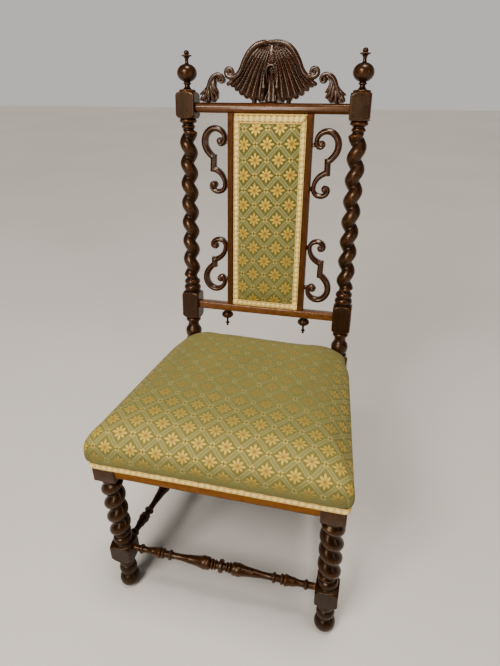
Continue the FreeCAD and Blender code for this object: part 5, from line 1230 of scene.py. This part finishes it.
def seat_piece():
    rows = lerp_levels(SEAT_LEVELS, 64)
    rings, cloth = [], []
    for z, off, kf, kr in rows:
        pts = seat_outline(off, kf, kr)
        rings.append(np.column_stack([pts, np.full(len(pts), z)]))
    edge = rings[-1]
    ctr = np.array([0.0, 186.0])
    for f in np.linspace(1, 0, 26)[1:-1]:
        xy = ctr + (edge[:, :2] - ctr) * f
        rings.append(np.column_stack([xy, 443.0 + 2.6 * (1 - f * f)[..., None].repeat(len(xy)) if np.ndim(f) else np.full(len(xy), 443.0 + 2.6 * (1 - f * f))]))
    R = np.array(rings)
    # fuller towards the back rail
    x, y, z = R[..., 0].copy(), R[..., 1].copy(), R[..., 2].copy()
    full = smooth01(y, 285, 352) * smooth01(z, 404, 430)
    z = z + 3.0 * full * (1 - 0.6 * smooth01(np.abs(x), 120, 175))
    # slight unevenness of hand stuffing
    lump = (np.sin(x * 0.021 + 0.7) * np.sin(y * 0.026 + 1.9) + 0.6 * np.sin(x * 0.043 - y * 0.031 + 0.4)) * 0.7
    z = z + lump * smooth01(z, 405, 432)
    # the cloth is drawn down to the tacks under the braid
    perim = np.concatenate([[0], np.cumsum(np.linalg.norm(np.diff(R[8, :, :2], axis=0), axis=1))])
    out_n = np.stack([np.gradient(R[8, :, 1]), -np.gradient(R[8, :, 0])], 1)
    out_n /= np.linalg.norm(out_n, axis=1)[:, None]
    if ((R[8, :, :2] - ctr) * out_n).sum() < 0:
        out_n = -out_n
    low = smooth01(z, 385, 352)
    pucker = (np.sin(perim * 2 * math.pi / 31.0) + 0.6 * np.sin(perim * 2 * math.pi / 17.3 + 1.1)) * 0.35
    shift = low * pucker[None]
    # pleats at the front corners
    for cx, wide, deep in ((229.5, 2.6, 2.3), (224.0, 2.2, 0.9), (-229.5, 2.6, 2.0), (-223.0, 2.4, 1.0)):
        lean = (z - 350.0) * 0.06 * np.sign(cx)
        g = np.exp(-((x - cx + lean) / wide) ** 2) * smooth01(y, 6, -12) * smooth01(z, 404, 372)
        shift = shift - deep * g
    x = x + shift * out_n[None, :, 0]
    y = y + shift * out_n[None, :, 1]
    R = np.stack([x, y, z], -1)
    # cloth coordinates: lay every section flat from the crown outwards
    n_rings = len(R)
    flat = np.zeros(R.shape[:2] + (2,))
    flat[-1] = R[-1, :, :2]
    for i in range(n_rings - 2, -1, -1):
        step = R[i] - R[i + 1]
        ds = np.linalg.norm(step, axis=1)
        hor = step[:, :2]
        hl = np.linalg.norm(hor, axis=1)
        w = np.clip(hl / np.maximum(ds, 1e-9), 0, 1)[:, None]
        dirn = hor / np.maximum(hl, 1e-9)[:, None] * w + out_n * (1 - w)
        dirn /= np.maximum(np.linalg.norm(dirn, axis=1), 1e-9)[:, None]
        flat[i] = flat[i + 1] + dirn * ds[:, None]
    # the cover under tension over the stuffing, tacked below the braid
    rows = np.unique(np.append(np.arange(0, n_rings, 3), n_rings - 1))
    cols = np.arange(0, R.shape[1], 4)
    coarse = R[rows][:, cols]
    move = stretched(floor(coarse), coarse[..., 2] < 358.0, floor((0.0, 180.0, 370.0)), 3.2, 0.0032, True)
    R = R + spread(move, rows, cols, R.shape[:2], True) / MM
    # under side, hollow over the springs
    under = []
    for z_, off, kf, kr in ((348.0, 0.2, 6.0, 18.0), (362.0, 0.15, 6.0, 18.0), (377.8, 0.15, 6.0, 18.0), (378.2, -27.0, 10.0, 22.0), (389.0, -44.0, 20.0, 30.0), (400.2, -60.0, 30.0, 40.0)):
        pts = seat_outline(off, kf, kr)
        under.append(np.column_stack([pts, np.full(len(pts), z_)]))
    U = np.array(under)[::-1]
    allr = np.concatenate([U, R], 0)
    fl = np.concatenate([np.repeat(flat[:1], len(U), 0), flat], 0)
    v, f = tube_mesh(allr)
    cl = np.vstack([fl.reshape(-1, 2), fl[0].mean(0)[None], R[-1, :, :2].mean(0)[None]])
    ab = (cl - CLOTH_SEAT["zero"]) @ np.linalg.inv(CLOTH_SEAT["cell"]).T
    cl3 = np.column_stack([ab[:, 0] * CLOTH["dx"], ab[:, 1] * CLOTH["dy"], np.zeros(len(cl))])
    # the figure bright along the front roll, less so at the sides, dull on top and at the lower edge: sat flat on top,
    # and painted satin sheen where the cloth faces the light
    ax, fy, fz = np.abs(v[:, 0]), v[:, 1], v[:, 2]
    edge = 240.0 - 0.1105 * (fy + 21.8) - ax
    front = 0.86 - 0.46 * smooth01(fy, -6.0, 62.0) - 0.32 * smooth01(fy, 46.0, 136.0)
    flank = 0.62 * (1.0 - smooth01(edge, 8.0, 70.0)) * (1.0 - 0.6 * smooth01(fy, 150.0, 340.0))
    sheen_and_wear = np.maximum(np.maximum(front, flank), 0.06) * (0.06 + 0.94 * smooth01(fz, 374.0, 402.0))
    # painted sheen of gold on the front roll, painted shade on the lower front
    ob = make("upholstered_seat", floor(v), f, BROCADE, ("seat_cover", "seat_stuffing"), 55, None, None, {"cloth": cl3, "sheen_and_wear": sheen_and_wear, "painted_sheen": 0.22 * smooth01(fy, 66.0, 2.0) * smooth01(fz, 384.0, 408.0), "soil_and_shade": 0.36 * smooth01(fz, 388.0, 362.0)})
    return ob


# a daisy of the seat in its flat cloth, and the half steps to the next ones
CLOTH_SEAT = {"zero": np.array([-194.4, -35.95]), "cell": np.array([[24.18, -0.774], [0.3015, 26.95]])}
CLOTH_BACK = (2.9, -508.6)
seat_piece()


# ---------------------------------------------------------------- back panel
def back_pad():
    xs = np.concatenate([[-73.1, -72.6], np.linspace(-71, 71, 61), [72.6, 73.1]])
    ss = np.concatenate([[167.4, 168.0], np.linspace(170, 562, 150), [564.0, 564.6]])
    X, Sg = np.meshgrid(xs, ss, indexing="ij")
    ex = smooth01(73.6 - np.abs(X), 8.5, 30.0)
    lo, hi = smooth01(Sg, 175.0, 202.0), smooth01(Sg, 552.0, 522.0)
    crown = (0.65 + 0.35 * np.cos(X / 61.0 * math.pi / 2)) * ex * lo * hi
    d = -6.2 - 6.4 * crown - 0.35 * np.sin(X * 0.09 + 0.4) * np.sin(Sg * 0.035) * ex
    edge = (np.abs(X) > 72.8) | (Sg < 167.7) | (Sg > 564.3)
    d = np.where(edge, -5.4, d)
    top = np.stack([X, d, Sg], -1)
    nu, nv = X.shape
    rows, cols = np.unique(np.append(np.arange(0, nu, 3), nu - 1)), np.unique(np.append(np.arange(0, nv, 4), nv - 1))
    coarse = top[rows][:, cols]
    held = (np.abs(coarse[..., 0]) > 62.0) | (coarse[..., 2] < 180.0) | (coarse[..., 2] > 548.0)
    move = stretched(back(coarse), held, back((0.0, 60.0, 365.0)), 2.4, 0.0016, False)
    shift = spread(move, rows, cols, (nu, nv), False) / MM
    # taken back into the raked frame
    top = top + np.stack([shift[..., 0], shift[..., 1] * CR - shift[..., 2] * SR, shift[..., 1] * SR + shift[..., 2] * CR], -1)
    bot = np.stack([X, np.full_like(X, -4.7), Sg], -1)
    v = np.vstack([top.reshape(-1, 3), bot.reshape(-1, 3)])
    f = quads(nu, nv) + quads(nu, nv, base=nu * nv)
    ring = [(i, 0) for i in range(nu)] + [(nu - 1, j) for j in range(1, nv)] + [(i, nv - 1) for i in range(nu - 2, -1, -1)] + [(0, j) for j in range(nv - 2, 0, -1)]
    ids = [i * nv + j for i, j in ring]
    m = nu * nv
    for a, b in zip(ids, ids[1:] + ids[:1]):
        f.append([a, b, b + m, a + m])
    cl = np.column_stack([v[:, 0] + CLOTH_BACK[0], v[:, 2] + CLOTH_BACK[1] - 0.045 * (v[:, 0] + CLOTH_BACK[0]), np.full(len(v), 3.0)])
    # painted sheen: the figure of the panel brighter towards the top
    ob = make("upholstered_back", back(v), f, BROCADE, ("back_cover", "back_padding"), 55, None, None, {"cloth": cl, "sheen_and_wear": 0.54 + 0.44 * smooth01(v[:, 2], 215.0, 460.0)})


back_pad()


def outside_back():
    xs, ss = np.linspace(-82.0, 82.0, 40), np.linspace(167.5, 564.4, 90)
    X, Sg = np.meshgrid(xs, ss, indexing="ij")
    puff = np.cos(X / 82.0 * math.pi / 2) ** 0.6 * np.clip(np.sin((Sg - 167.5) / 396.9 * math.pi), 0, 1) ** 0.35
    d = 9.9 + 0.9 * puff
    v = np.vstack([np.stack([X, d + 0.45, Sg], -1).reshape(-1, 3), np.stack([X, d - 0.35, Sg], -1).reshape(-1, 3)])
    nu, nv = X.shape
    m = nu * nv
    f = quads(nu, nv) + quads(nu, nv, base=m)
    ring = [(i, 0) for i in range(nu)] + [(nu - 1, j) for j in range(1, nv)] + [(i, nv - 1) for i in range(nu - 2, -1, -1)] + [(0, j) for j in range(nv - 2, 0, -1)]
    ids = [i * nv + j for i, j in ring]
    for a, b in zip(ids, ids[1:] + ids[:1]):
        f.append([a, b, b + m, a + m])
    cl = np.column_stack([v[:, 0], v[:, 2], np.full(len(v), 5.0)])
    ob = make("outside_back_cloth", back(v), f, BROCADE, ("outside_back_cover",), 55, None, None, {"cloth": cl, "sheen_and_wear": np.full(len(v), 0.85)})


outside_back()


# --------------------------------------------------------------------- braid
def braid_height(l, a, period):
    """A row of plump loops along the middle, laced with a finer cord, between picot edges; a runs from -1 to 1 across."""
    h = np.full_like(l, 0.12)
    turn = l / period
    # no two loops are alike
    k = np.floor(turn)
    vary = np.sin(k * 12.9 + 4.0) * 0.5 + np.sin(k * 5.3 + 1.3) * 0.5
    w = (a - 0.10 * vary) / (0.58 + 0.06 * vary)
    dl = (turn % 1.0 - 0.5 + 0.05 * vary - 0.10 * a) / 0.43
    h = np.maximum(h, (0.92 + 0.08 * vary) * np.clip(1 - np.abs(dl) ** 3.2 - np.abs(w) ** 3.0, 0, 1) ** 0.6)
    # the loop is two cords side by side
    h = h - 0.16 * np.exp(-((dl + 0.05) / 0.16) ** 2) * (np.abs(w) < 0.8)
    for sgn in (-1, 1):
        lace = np.abs(a - sgn * (0.60 - 0.34 * np.abs(np.cos(math.pi * turn)))) / 0.13
        h = np.maximum(h, 0.62 * np.sqrt(np.clip(1 - lace ** 2, 0, 1)))
        dl = ((l / (period / 4)) % 1.0 - 0.5) / 0.46
        h = np.maximum(h, 0.72 * np.sqrt(np.clip(1 - np.abs(dl) ** 2 - ((a - sgn * 0.86) / 0.15) ** 2, 0, 1)))
    return h


def braid(path, out, across, wide, thick, base, period=10.8, start=0.0, trim=None, rows=19, painted_edge_shadow=None):
    """Woven braid along path points (n, 3) with unit normals out and unit across; returns verts, faces, cloth, lay."""
    P = np.asarray(path, float)
    ln = np.concatenate([[0], np.cumsum(np.linalg.norm(np.diff(P, axis=0), axis=1))])
    n = int(ln[-1] / 0.7) + 2
    w = np.linspace(0, ln[-1], n)
    pick = lambda A: np.stack([np.interp(w, ln, A[:, k]) for k in range(3)], 1)
    P, O, A = pick(P), pick(np.asarray(out, float)), pick(np.asarray(across, float))
    O /= np.linalg.norm(O, axis=1)[:, None]
    A /= np.linalg.norm(A, axis=1)[:, None]
    a = np.linspace(-1, 1, rows)
    L = np.broadcast_to(w[:, None] + start, (n, rows))
    Ag = np.broadcast_to(a[None], (n, rows))
    scallop = 1.0 - 0.05 * np.cos(2 * math.pi * L / (period / 4))
    h = braid_height(L, Ag, period)
    fall = np.clip(1 - np.abs(Ag) ** 12, 0, 1)
    high = base + (0.12 + 0.88 * h) * thick * (0.25 + 0.75 * fall)
    along = np.zeros_like(L)
    if trim is not None:
        along = trim(Ag, w[:, None] / ln[-1])
    T = np.gradient(P, axis=0)
    T /= np.linalg.norm(T, axis=1)[:, None]
    top = P[:, None] + A[:, None] * (Ag * scallop * wide / 2)[..., None] + O[:, None] * high[..., None] + T[:, None] * along[..., None]
    bot = P[:, None] + A[:, None] * (Ag * scallop * wide / 2)[..., None] + O[:, None] * np.full_like(high, base - 0.15)[..., None] + T[:, None] * along[..., None]
    rings = np.concatenate([top, bot[:, ::-1]], 1)
    v, f = tube_mesh(rings)
    cl = np.stack([np.concatenate([L, L[:, ::-1]], 1), np.concatenate([Ag, Ag[:, ::-1]], 1) * wide / 2, np.zeros((n, 2 * rows))], -1).reshape(-1, 3)
    cl = np.vstack([cl, cl[0], cl[-1]])
    # painted shadow: where the caller marks it, the braid's height is taken to nothing, so its colour turns dark
    if painted_edge_shadow is not None:
        h = h * (1.0 - painted_edge_shadow(Ag, np.broadcast_to(w[:, None] / ln[-1], h.shape)))
    lay = np.concatenate([h, np.full_like(h, 0.3)], 1).reshape(-1)
    lay = np.concatenate([lay, [0.4, 0.4]])
    return v, f, cl, lay


def braid_piece(name, strips, place, nodes):
    vs, fs, cs, ls, n = [], [], [], [], 0
    for v, f, c, l in strips:
        vs.append(v)
        fs += [[i + n for i in q] for q in f]
        cs.append(c)
        ls.append(l)
        n += len(v)
    return make(name, place(np.vstack(vs)), fs, GIMP, nodes, 60, None, None, {"cloth": np.vstack(cs), "wear_and_shade": np.concatenate(ls)})


def const(v, n):
    return np.tile(np.asarray(v, float), (n, 1))


def seat_braid():
    strips = []
    pts = seat_outline(1.0, 7.0, 20.0)
    y = pts[:, 1]
    # from the left post round the front to the right post
    front = [i for i in range(len(pts)) if y[i] < 351.0]
    start = max(front, key=lambda i: (pts[i, 0] < 0) * 1000 + y[i])
    order = [(start + k) % len(pts) for k in range(len(pts))]
    order = [i for i in order if y[i] < 351.0]
    line = pts[order]
    tan = np.gradient(line, axis=0)
    tan /= np.linalg.norm(tan, axis=1)[:, None]
    out = np.column_stack([tan[:, 1], -tan[:, 0], np.zeros(len(line))])
    if (out[:, :2] * (line - np.array([0, 180.0]))).sum() < 0:
        out = -out
    # pulled up a little between the legs
    sag = 0.35 * np.sin(np.arange(len(line)) * 0.11) + 1.1 * smooth01(226.0 - np.abs(line[:, 0]), 0.0, 90.0)
    path = np.column_stack([line, 350.9 + sag])
    strips.append(braid(path, out, const((0, 0, 1), len(line)), 11.4, 2.9, 0.6, 11.6))
    xs = np.linspace(150.0, -150.0, 40)
    path = np.column_stack([xs, np.full(40, 384.3), np.full(40, 351.3)])
    strips.append(braid(path, const((0, 1, 0), 40), const((0, 0, 1), 40), 11.4, 2.4, 0.5, 11.6))
    braid_piece("seat_braid", strips, floor, ("seat_gimp",))


def panel_braid():
    n = 60
    front = const((0, -1, 0), n)
    base = -6.1
    strips = []
    for x in (-67.2, 67.2):
        path = np.column_stack([np.full(n, x), np.full(n, base), np.linspace(167.6, 560.0, n)])
        strips.append(braid(path, front, const((1, 0, 0), n), 11.8, 2.2, 0.3, start=x))
    path = np.column_stack([np.linspace(-73.0, 73.0, n), np.full(n, base), np.full(n, 173.2)])
    strips.append(braid(path, front, const((0, 0, 1), n), 11.8, 2.2, 0.9))
    # broad top length: left end mitred, right end rounded off

    def trim(a, w):
        down = (1 - a) / 2
        left = np.clip(1 - w * 9.0, 0, 1) * down * 13.0
        right = -np.clip(1 - (1 - w) * 9.0, 0, 1) * 13.0 * np.clip(down, 0, 1) ** 2.2
        return left + right
    path = np.column_stack([np.linspace(-73.0, 73.0, n), np.full(n, base), np.full(n, 555.4)])

    # painted shadow: a dark line along the lower edge and the ends of the broad top length, where it lies over the side
    # lengths
    def painted_edge_shadow(a, w):
        return np.clip(smooth01(a, -0.90, -0.97) + smooth01(w, 0.010, 0.004) + smooth01(w, 0.988, 0.995) * smooth01(a, 0.9, 0.5), 0, 1)
    strips.append(braid(path, front, const((0, 0, 1), n), 18.2, 2.4, 1.9, 11.4, start=4.0, trim=trim, rows=31, painted_edge_shadow=painted_edge_shadow))
    braid_piece("panel_braid", strips, back, ("back_gimp",))


def rear_braid():
    n = 60
    rear = const((0, 1, 0), n)
    strips = []
    for x in (-77.6, 77.6):
        path = np.column_stack([np.full(n, x), np.full(n, 10.4), np.linspace(167.6, 564.3, n)])
        strips.append(braid(path, rear, const((1, 0, 0), n), 8.8, 1.6, 0.3, 9.2, start=x))
    for s in (172.0, 560.0):
        path = np.column_stack([np.linspace(-82.0, 82.0, n), np.full(n, 10.4), np.full(n, s)])
        strips.append(braid(path, rear, const((0, 0, 1), n), 8.8, 1.6, 0.6, 9.2, start=s))
    braid_piece("rear_panel_braid", strips, back, ("outside_back_gimp",))


seat_braid()
panel_braid()
rear_braid()


# ------------------------------------------------------ under and inside the seat
def cloth_grid(name, corners, nx, ny, height, thick, mat, node, inside):
    """Thin sheet over a plan area; inside tells which grid cells are cloth."""
    (x0, y0), (x1, y1) = corners
    xs, ys = np.linspace(x0, x1, nx), np.linspace(y0, y1, ny)
    X, Y = np.meshgrid(xs, ys, indexing="ij")
    Z = height(X, Y)
    cells = [(i, j) for i in range(nx - 1) for j in range(ny - 1) if inside((xs[i] + xs[i + 1]) / 2, (ys[j] + ys[j + 1]) / 2)]
    used = {}
    v, f = [], []

    def pid(i, j, k):
        key = (i, j, k)
        if key not in used:
            used[key] = len(v)
            v.append((X[i, j], Y[i, j], Z[i, j] + k * thick))
        return used[key]
    have = set(cells)
    for i, j in cells:
        f.append([pid(i, j, 1), pid(i + 1, j, 1), pid(i + 1, j + 1, 1), pid(i, j + 1, 1)])
        f.append([pid(i, j, 0), pid(i, j + 1, 0), pid(i + 1, j + 1, 0), pid(i + 1, j, 0)])
        for (di, dj), (a, b) in (((-1, 0), ((i, j), (i, j + 1))), ((1, 0), ((i + 1, j), (i + 1, j + 1))), ((0, -1), ((i, j), (i + 1, j))), ((0, 1), ((i, j + 1), (i + 1, j + 1)))):
            if (i + di, j + dj) not in have:
                f.append([pid(*a, 0), pid(*b, 0), pid(*b, 1), pid(*a, 1)])
    ob = make(name, floor(np.array(v)), f, mat, (node,), 50)
    return ob


def under_cloth():
    def side(y):
        return 214.0 + (184.0 - 214.0) * (y - 28.0) / (344.0 - 28.0)

    def inside(x, y):
        if y < 28:
            return abs(x) < 182
        if y > 344:
            return abs(x) < 147
        return abs(x) < side(y)

    def height(X, Y):
        s = np.clip(np.cos(X / 215 * math.pi / 2), 0, 1) ** 0.7 * np.clip(np.sin((Y + 14) / 392 * math.pi), 0, 1) ** 0.7
        return 318.6 - 3.4 * s + 0.25 * np.sin(X * 0.09) * np.sin(Y * 0.07)
    cloth_grid("bottom_cloth", ((-214.0, -14.0), (214.0, 378.0)), 108, 99, height, 0.6, LINEN, "seat_bottom_cloth",
               inside)


under_cloth()


def webbing():
    parts = []
    fb, ss = [-92.0, 0.0, 92.0], [95.0, 185.0, 275.0]
    th, wd = 1.5, 47.6

    def strap(c0, c1, fixed, crossings, axis, sign0, widths):
        t = np.linspace(c0, c1, 90)
        z = np.full_like(t, 321.9 if axis == 0 else 321.9)
        wave = np.zeros_like(t)
        for k, c in enumerate(crossings):
            wave += sign0 * (-1) ** k * np.exp(-((t - c) / 26.0) ** 4)
        z = 322.2 + 0.95 * wave
        rings = []
        for tt, zz in zip(t, z):
            f = (tt - c0) / (c1 - c0)
            w2 = wd / 2
            sec = np.array([(-w2, 0), (-w2 + 0.4, th / 2), (0, th / 2), (w2 - 0.4, th / 2), (w2, 0), (w2 - 0.4, -th / 2), (0, -th / 2), (-w2 + 0.4, -th / 2)])
            if axis == 0:
                rings.append(np.stack([np.full(8, tt), fixed + sec[:, 0], zz + sec[:, 1]], -1))
            else:
                rings.append(np.stack([fixed + sec[:, 0], np.full(8, tt), zz + sec[:, 1]], -1))
        parts.append(tube_mesh(np.array(rings)))
    for i, x in enumerate(fb):
        strap(-16.0, 380.0, x, ss, 1, 1 if i % 2 == 0 else -1, None)
    for j, y in enumerate(ss):
        xe = 222.0 - 0.117 * (y + 24.0 - 21.8)
        strap(-xe, xe, y, fb, 0, -1 if j % 2 == 0 else 1, None)
    v, f = join(parts)
    ob = make("woven_webbing", floor(v), f, JUTE, ("seat_webbing",), 40)


webbing()


def hessian():
    def height(X, Y):
        ax = np.clip((190.0 - 0.108 * (Y - 3.0) - np.abs(X)) / 30.0, 0, 1)
        ay = np.clip(np.minimum(Y - 7.0, 357.0 - Y) / 30.0, 0, 1)
        h = np.minimum(ax, ay)
        h = h * h * (3 - 2 * h)
        return 376.5 + 20.6 * h + 0.9 * np.sin(X * 0.05 + 1) * np.sin(Y * 0.043) * h

    def inside(x, y):
        if y > 344.0:
            return abs(x) < 147.0
        return abs(x) < 196.0 - 0.0935 * (y + 8.0)
    cloth_grid("spring_hessian_cloth", ((-196.0, -8.0), (196.0, 374.0)), 84, 82, height, 0.8, HESSIAN, "spring_hessian", inside)


hessian()


def back_hessian_cloth():
    xs, ss = np.linspace(-72.8, 72.8, 30), np.linspace(167.5, 564.4, 70)
    X, Sg = np.meshgrid(xs, ss, indexing="ij")
    d = -4.55 + 1.1 * np.cos(X / 72.8 * math.pi / 2) * np.clip(np.sin((Sg - 167.5) / 396.9 * math.pi), 0, 1) ** 0.4 * smooth01(61.0 - np.abs(X), 0, 20)
    v = np.vstack([np.stack([X, d, Sg], -1).reshape(-1, 3), np.stack([X, d + 0.7, Sg], -1).reshape(-1, 3)])
    nu, nv = X.shape
    m = nu * nv
    f = quads(nu, nv) + quads(nu, nv, base=m)
    ring = [(i, 0) for i in range(nu)] + [(nu - 1, j) for j in range(1, nv)] + [(i, nv - 1) for i in range(nu - 2, -1, -1)] + [(0, j) for j in range(nv - 2, 0, -1)]
    ids = [i * nv + j for i, j in ring]
    for a, b in zip(ids, ids[1:] + ids[:1]):
        f.append([a, b, b + m, a + m])
    ob = make("back_hessian_cloth", back(v), f, HESSIAN, ("back_hessian",), 50)


back_hessian_cloth()

# ------------------------------------------------- remaining nodes keep their shape
KEEP = {"panel_head_batten": BEECH, "panel_foot_batten": BEECH, "corner_block_front_left": BEECH, "corner_block_rear_left": BEECH, "corner_block_front_right": BEECH,
        "corner_block_rear_right": BEECH, "crest_dowels": BEECH_POLISHED, "bracket_dowels": BEECH_POLISHED, "corner_block_screws": STEEL, "webbing_tacks": BLUED, "seat_springs": SPRING}
for name, mat in KEEP.items():
    ob = NODES[name]
    ob.data.materials.clear()
    ob.data.materials.append(mat)


# -------------------------------------------------------------- stage and camera
def stage():
    me = bpy.data.meshes.new("studio_floor")
    r = 9.0
    me.from_pydata([(-r, -r, -0.0004), (r, -r, -0.0004), (r, r, -0.0004), (-r, r, -0.0004)], [], [(0, 1, 2, 3)])
    ob = bpy.data.objects.new("studio_floor", me)
    bpy.context.scene.collection.objects.link(ob)
    t = Tree("studio_floor", Specular_IOR_Level=0.25)
    n = t.noise(t.here(), 1.2, 3.0, 0.5)
    t.set(Base_Color=t.mix(t.step(n, 0.3, 0.7), (0.60, 0.555, 0.495), (0.63, 0.585, 0.525)), Roughness=t.step(n, 0.3, 0.7, 0.62, 0.7))
    me.materials.append(t.mat)


stage()


def area(name, loc, aim, size, power, color=(1, 1, 1)):
    li = bpy.data.lights.new(name, "AREA")
    li.shape = "RECTANGLE"
    li.size, li.size_y = size
    li.energy = power
    li.color = color
    ob = bpy.data.objects.new(name, li)
    ob.location = loc
    ob.rotation_euler = (Vector(aim) - Vector(loc)).to_track_quat("-Z", "Y").to_euler()
    bpy.context.scene.collection.objects.link(ob)


area("high_window", (-0.75, -1.95, 2.35), (0, -0.05, 0.55), (1.0, 0.9), 74.0, (1.0, 0.965, 0.92))
area("low_window", (-0.56, -2.35, 1.12), (0, 0.1, 0.72), (0.42, 0.62), 13.0, (1.0, 0.965, 0.92))
area("right_fill", (2.4, -1.2, 1.2), (0, 0, 0.5), (0.5, 1.2), 6.0, (1.0, 0.98, 0.95))
sky = bpy.data.lights.new("ceiling", "SUN")
sky.energy = 2.5
sky.angle = math.radians(22)
sky.color = (1.0, 0.96, 0.91)
so = bpy.data.objects.new("ceiling", sky)
so.rotation_euler = Vector((-0.10, 0.02, -1.0)).to_track_quat("-Z", "Y").to_euler()
bpy.context.scene.collection.objects.link(so)

world = bpy.data.worlds.new("studio")
bpy.context.scene.world = world
world.use_nodes = True
wt = world.node_tree
wt.nodes.clear()
w_out = wt.nodes.new("ShaderNodeOutputWorld")
bg = wt.nodes.new("ShaderNodeBackground")
wt.links.new(bg.outputs[0], w_out.inputs[0])
w_co = wt.nodes.new("ShaderNodeTexCoord")
w_sep = wt.nodes.new("ShaderNodeSeparateXYZ")
wt.links.new(w_co.outputs["Generated"], w_sep.inputs[0])
parts = []
for sock, lo, hi, a, b in ((w_sep.outputs[1], 0.05, 0.75, 0.0, 1.0), (w_sep.outputs[2], 0.10, 0.42, 1.0, 0.0)):
    mr = wt.nodes.new("ShaderNodeMapRange")
    mr.interpolation_type = "SMOOTHSTEP"
    for key, val in (("From Min", lo), ("From Max", hi), ("To Min", a), ("To Max", b)):
        mr.inputs[key].default_value = val
    wt.links.new(sock, mr.inputs["Value"])
    parts.append(mr.outputs["Result"])
# a pale backdrop low behind the chair, dimmer all round
mul = wt.nodes.new("ShaderNodeMath")
mul.operation = "MULTIPLY"
wt.links.new(parts[0], mul.inputs[0])
wt.links.new(parts[1], mul.inputs[1])
add = wt.nodes.new("ShaderNodeMath")
add.operation = "MULTIPLY_ADD"
wt.links.new(mul.outputs[0], add.inputs[0])
add.inputs[1].default_value = 0.60
add.inputs[2].default_value = 0.11
wt.links.new(add.outputs[0], bg.inputs[1])
bg.inputs[0].default_value = (0.84, 0.82, 0.79, 1)

cam = bpy.data.cameras.new("camera")
cam.sensor_width = 36.0
cam.sensor_fit = "AUTO"
cam.lens = 514.517 / 666.0 * 36.0
cam.clip_start = 0.02
co = bpy.data.objects.new("camera", cam)
right = Vector((0.9688, 0.2474, -0.0152)).normalized()
fwd = Vector((-0.2230, 0.8433, -0.4891)).normalized()
up = right.cross(fwd).normalized()
right = fwd.cross(up).normalized()
m = Matrix.Identity(4)
for i in range(3):
    m[i][0], m[i][1], m[i][2] = right[i], up[i], -fwd[i]
m[0][3], m[1][3], m[2][3] = 0.23137, -0.84143, 1.00923
co.matrix_world = m
bpy.context.scene.collection.objects.link(co)
bpy.context.scene.camera = co
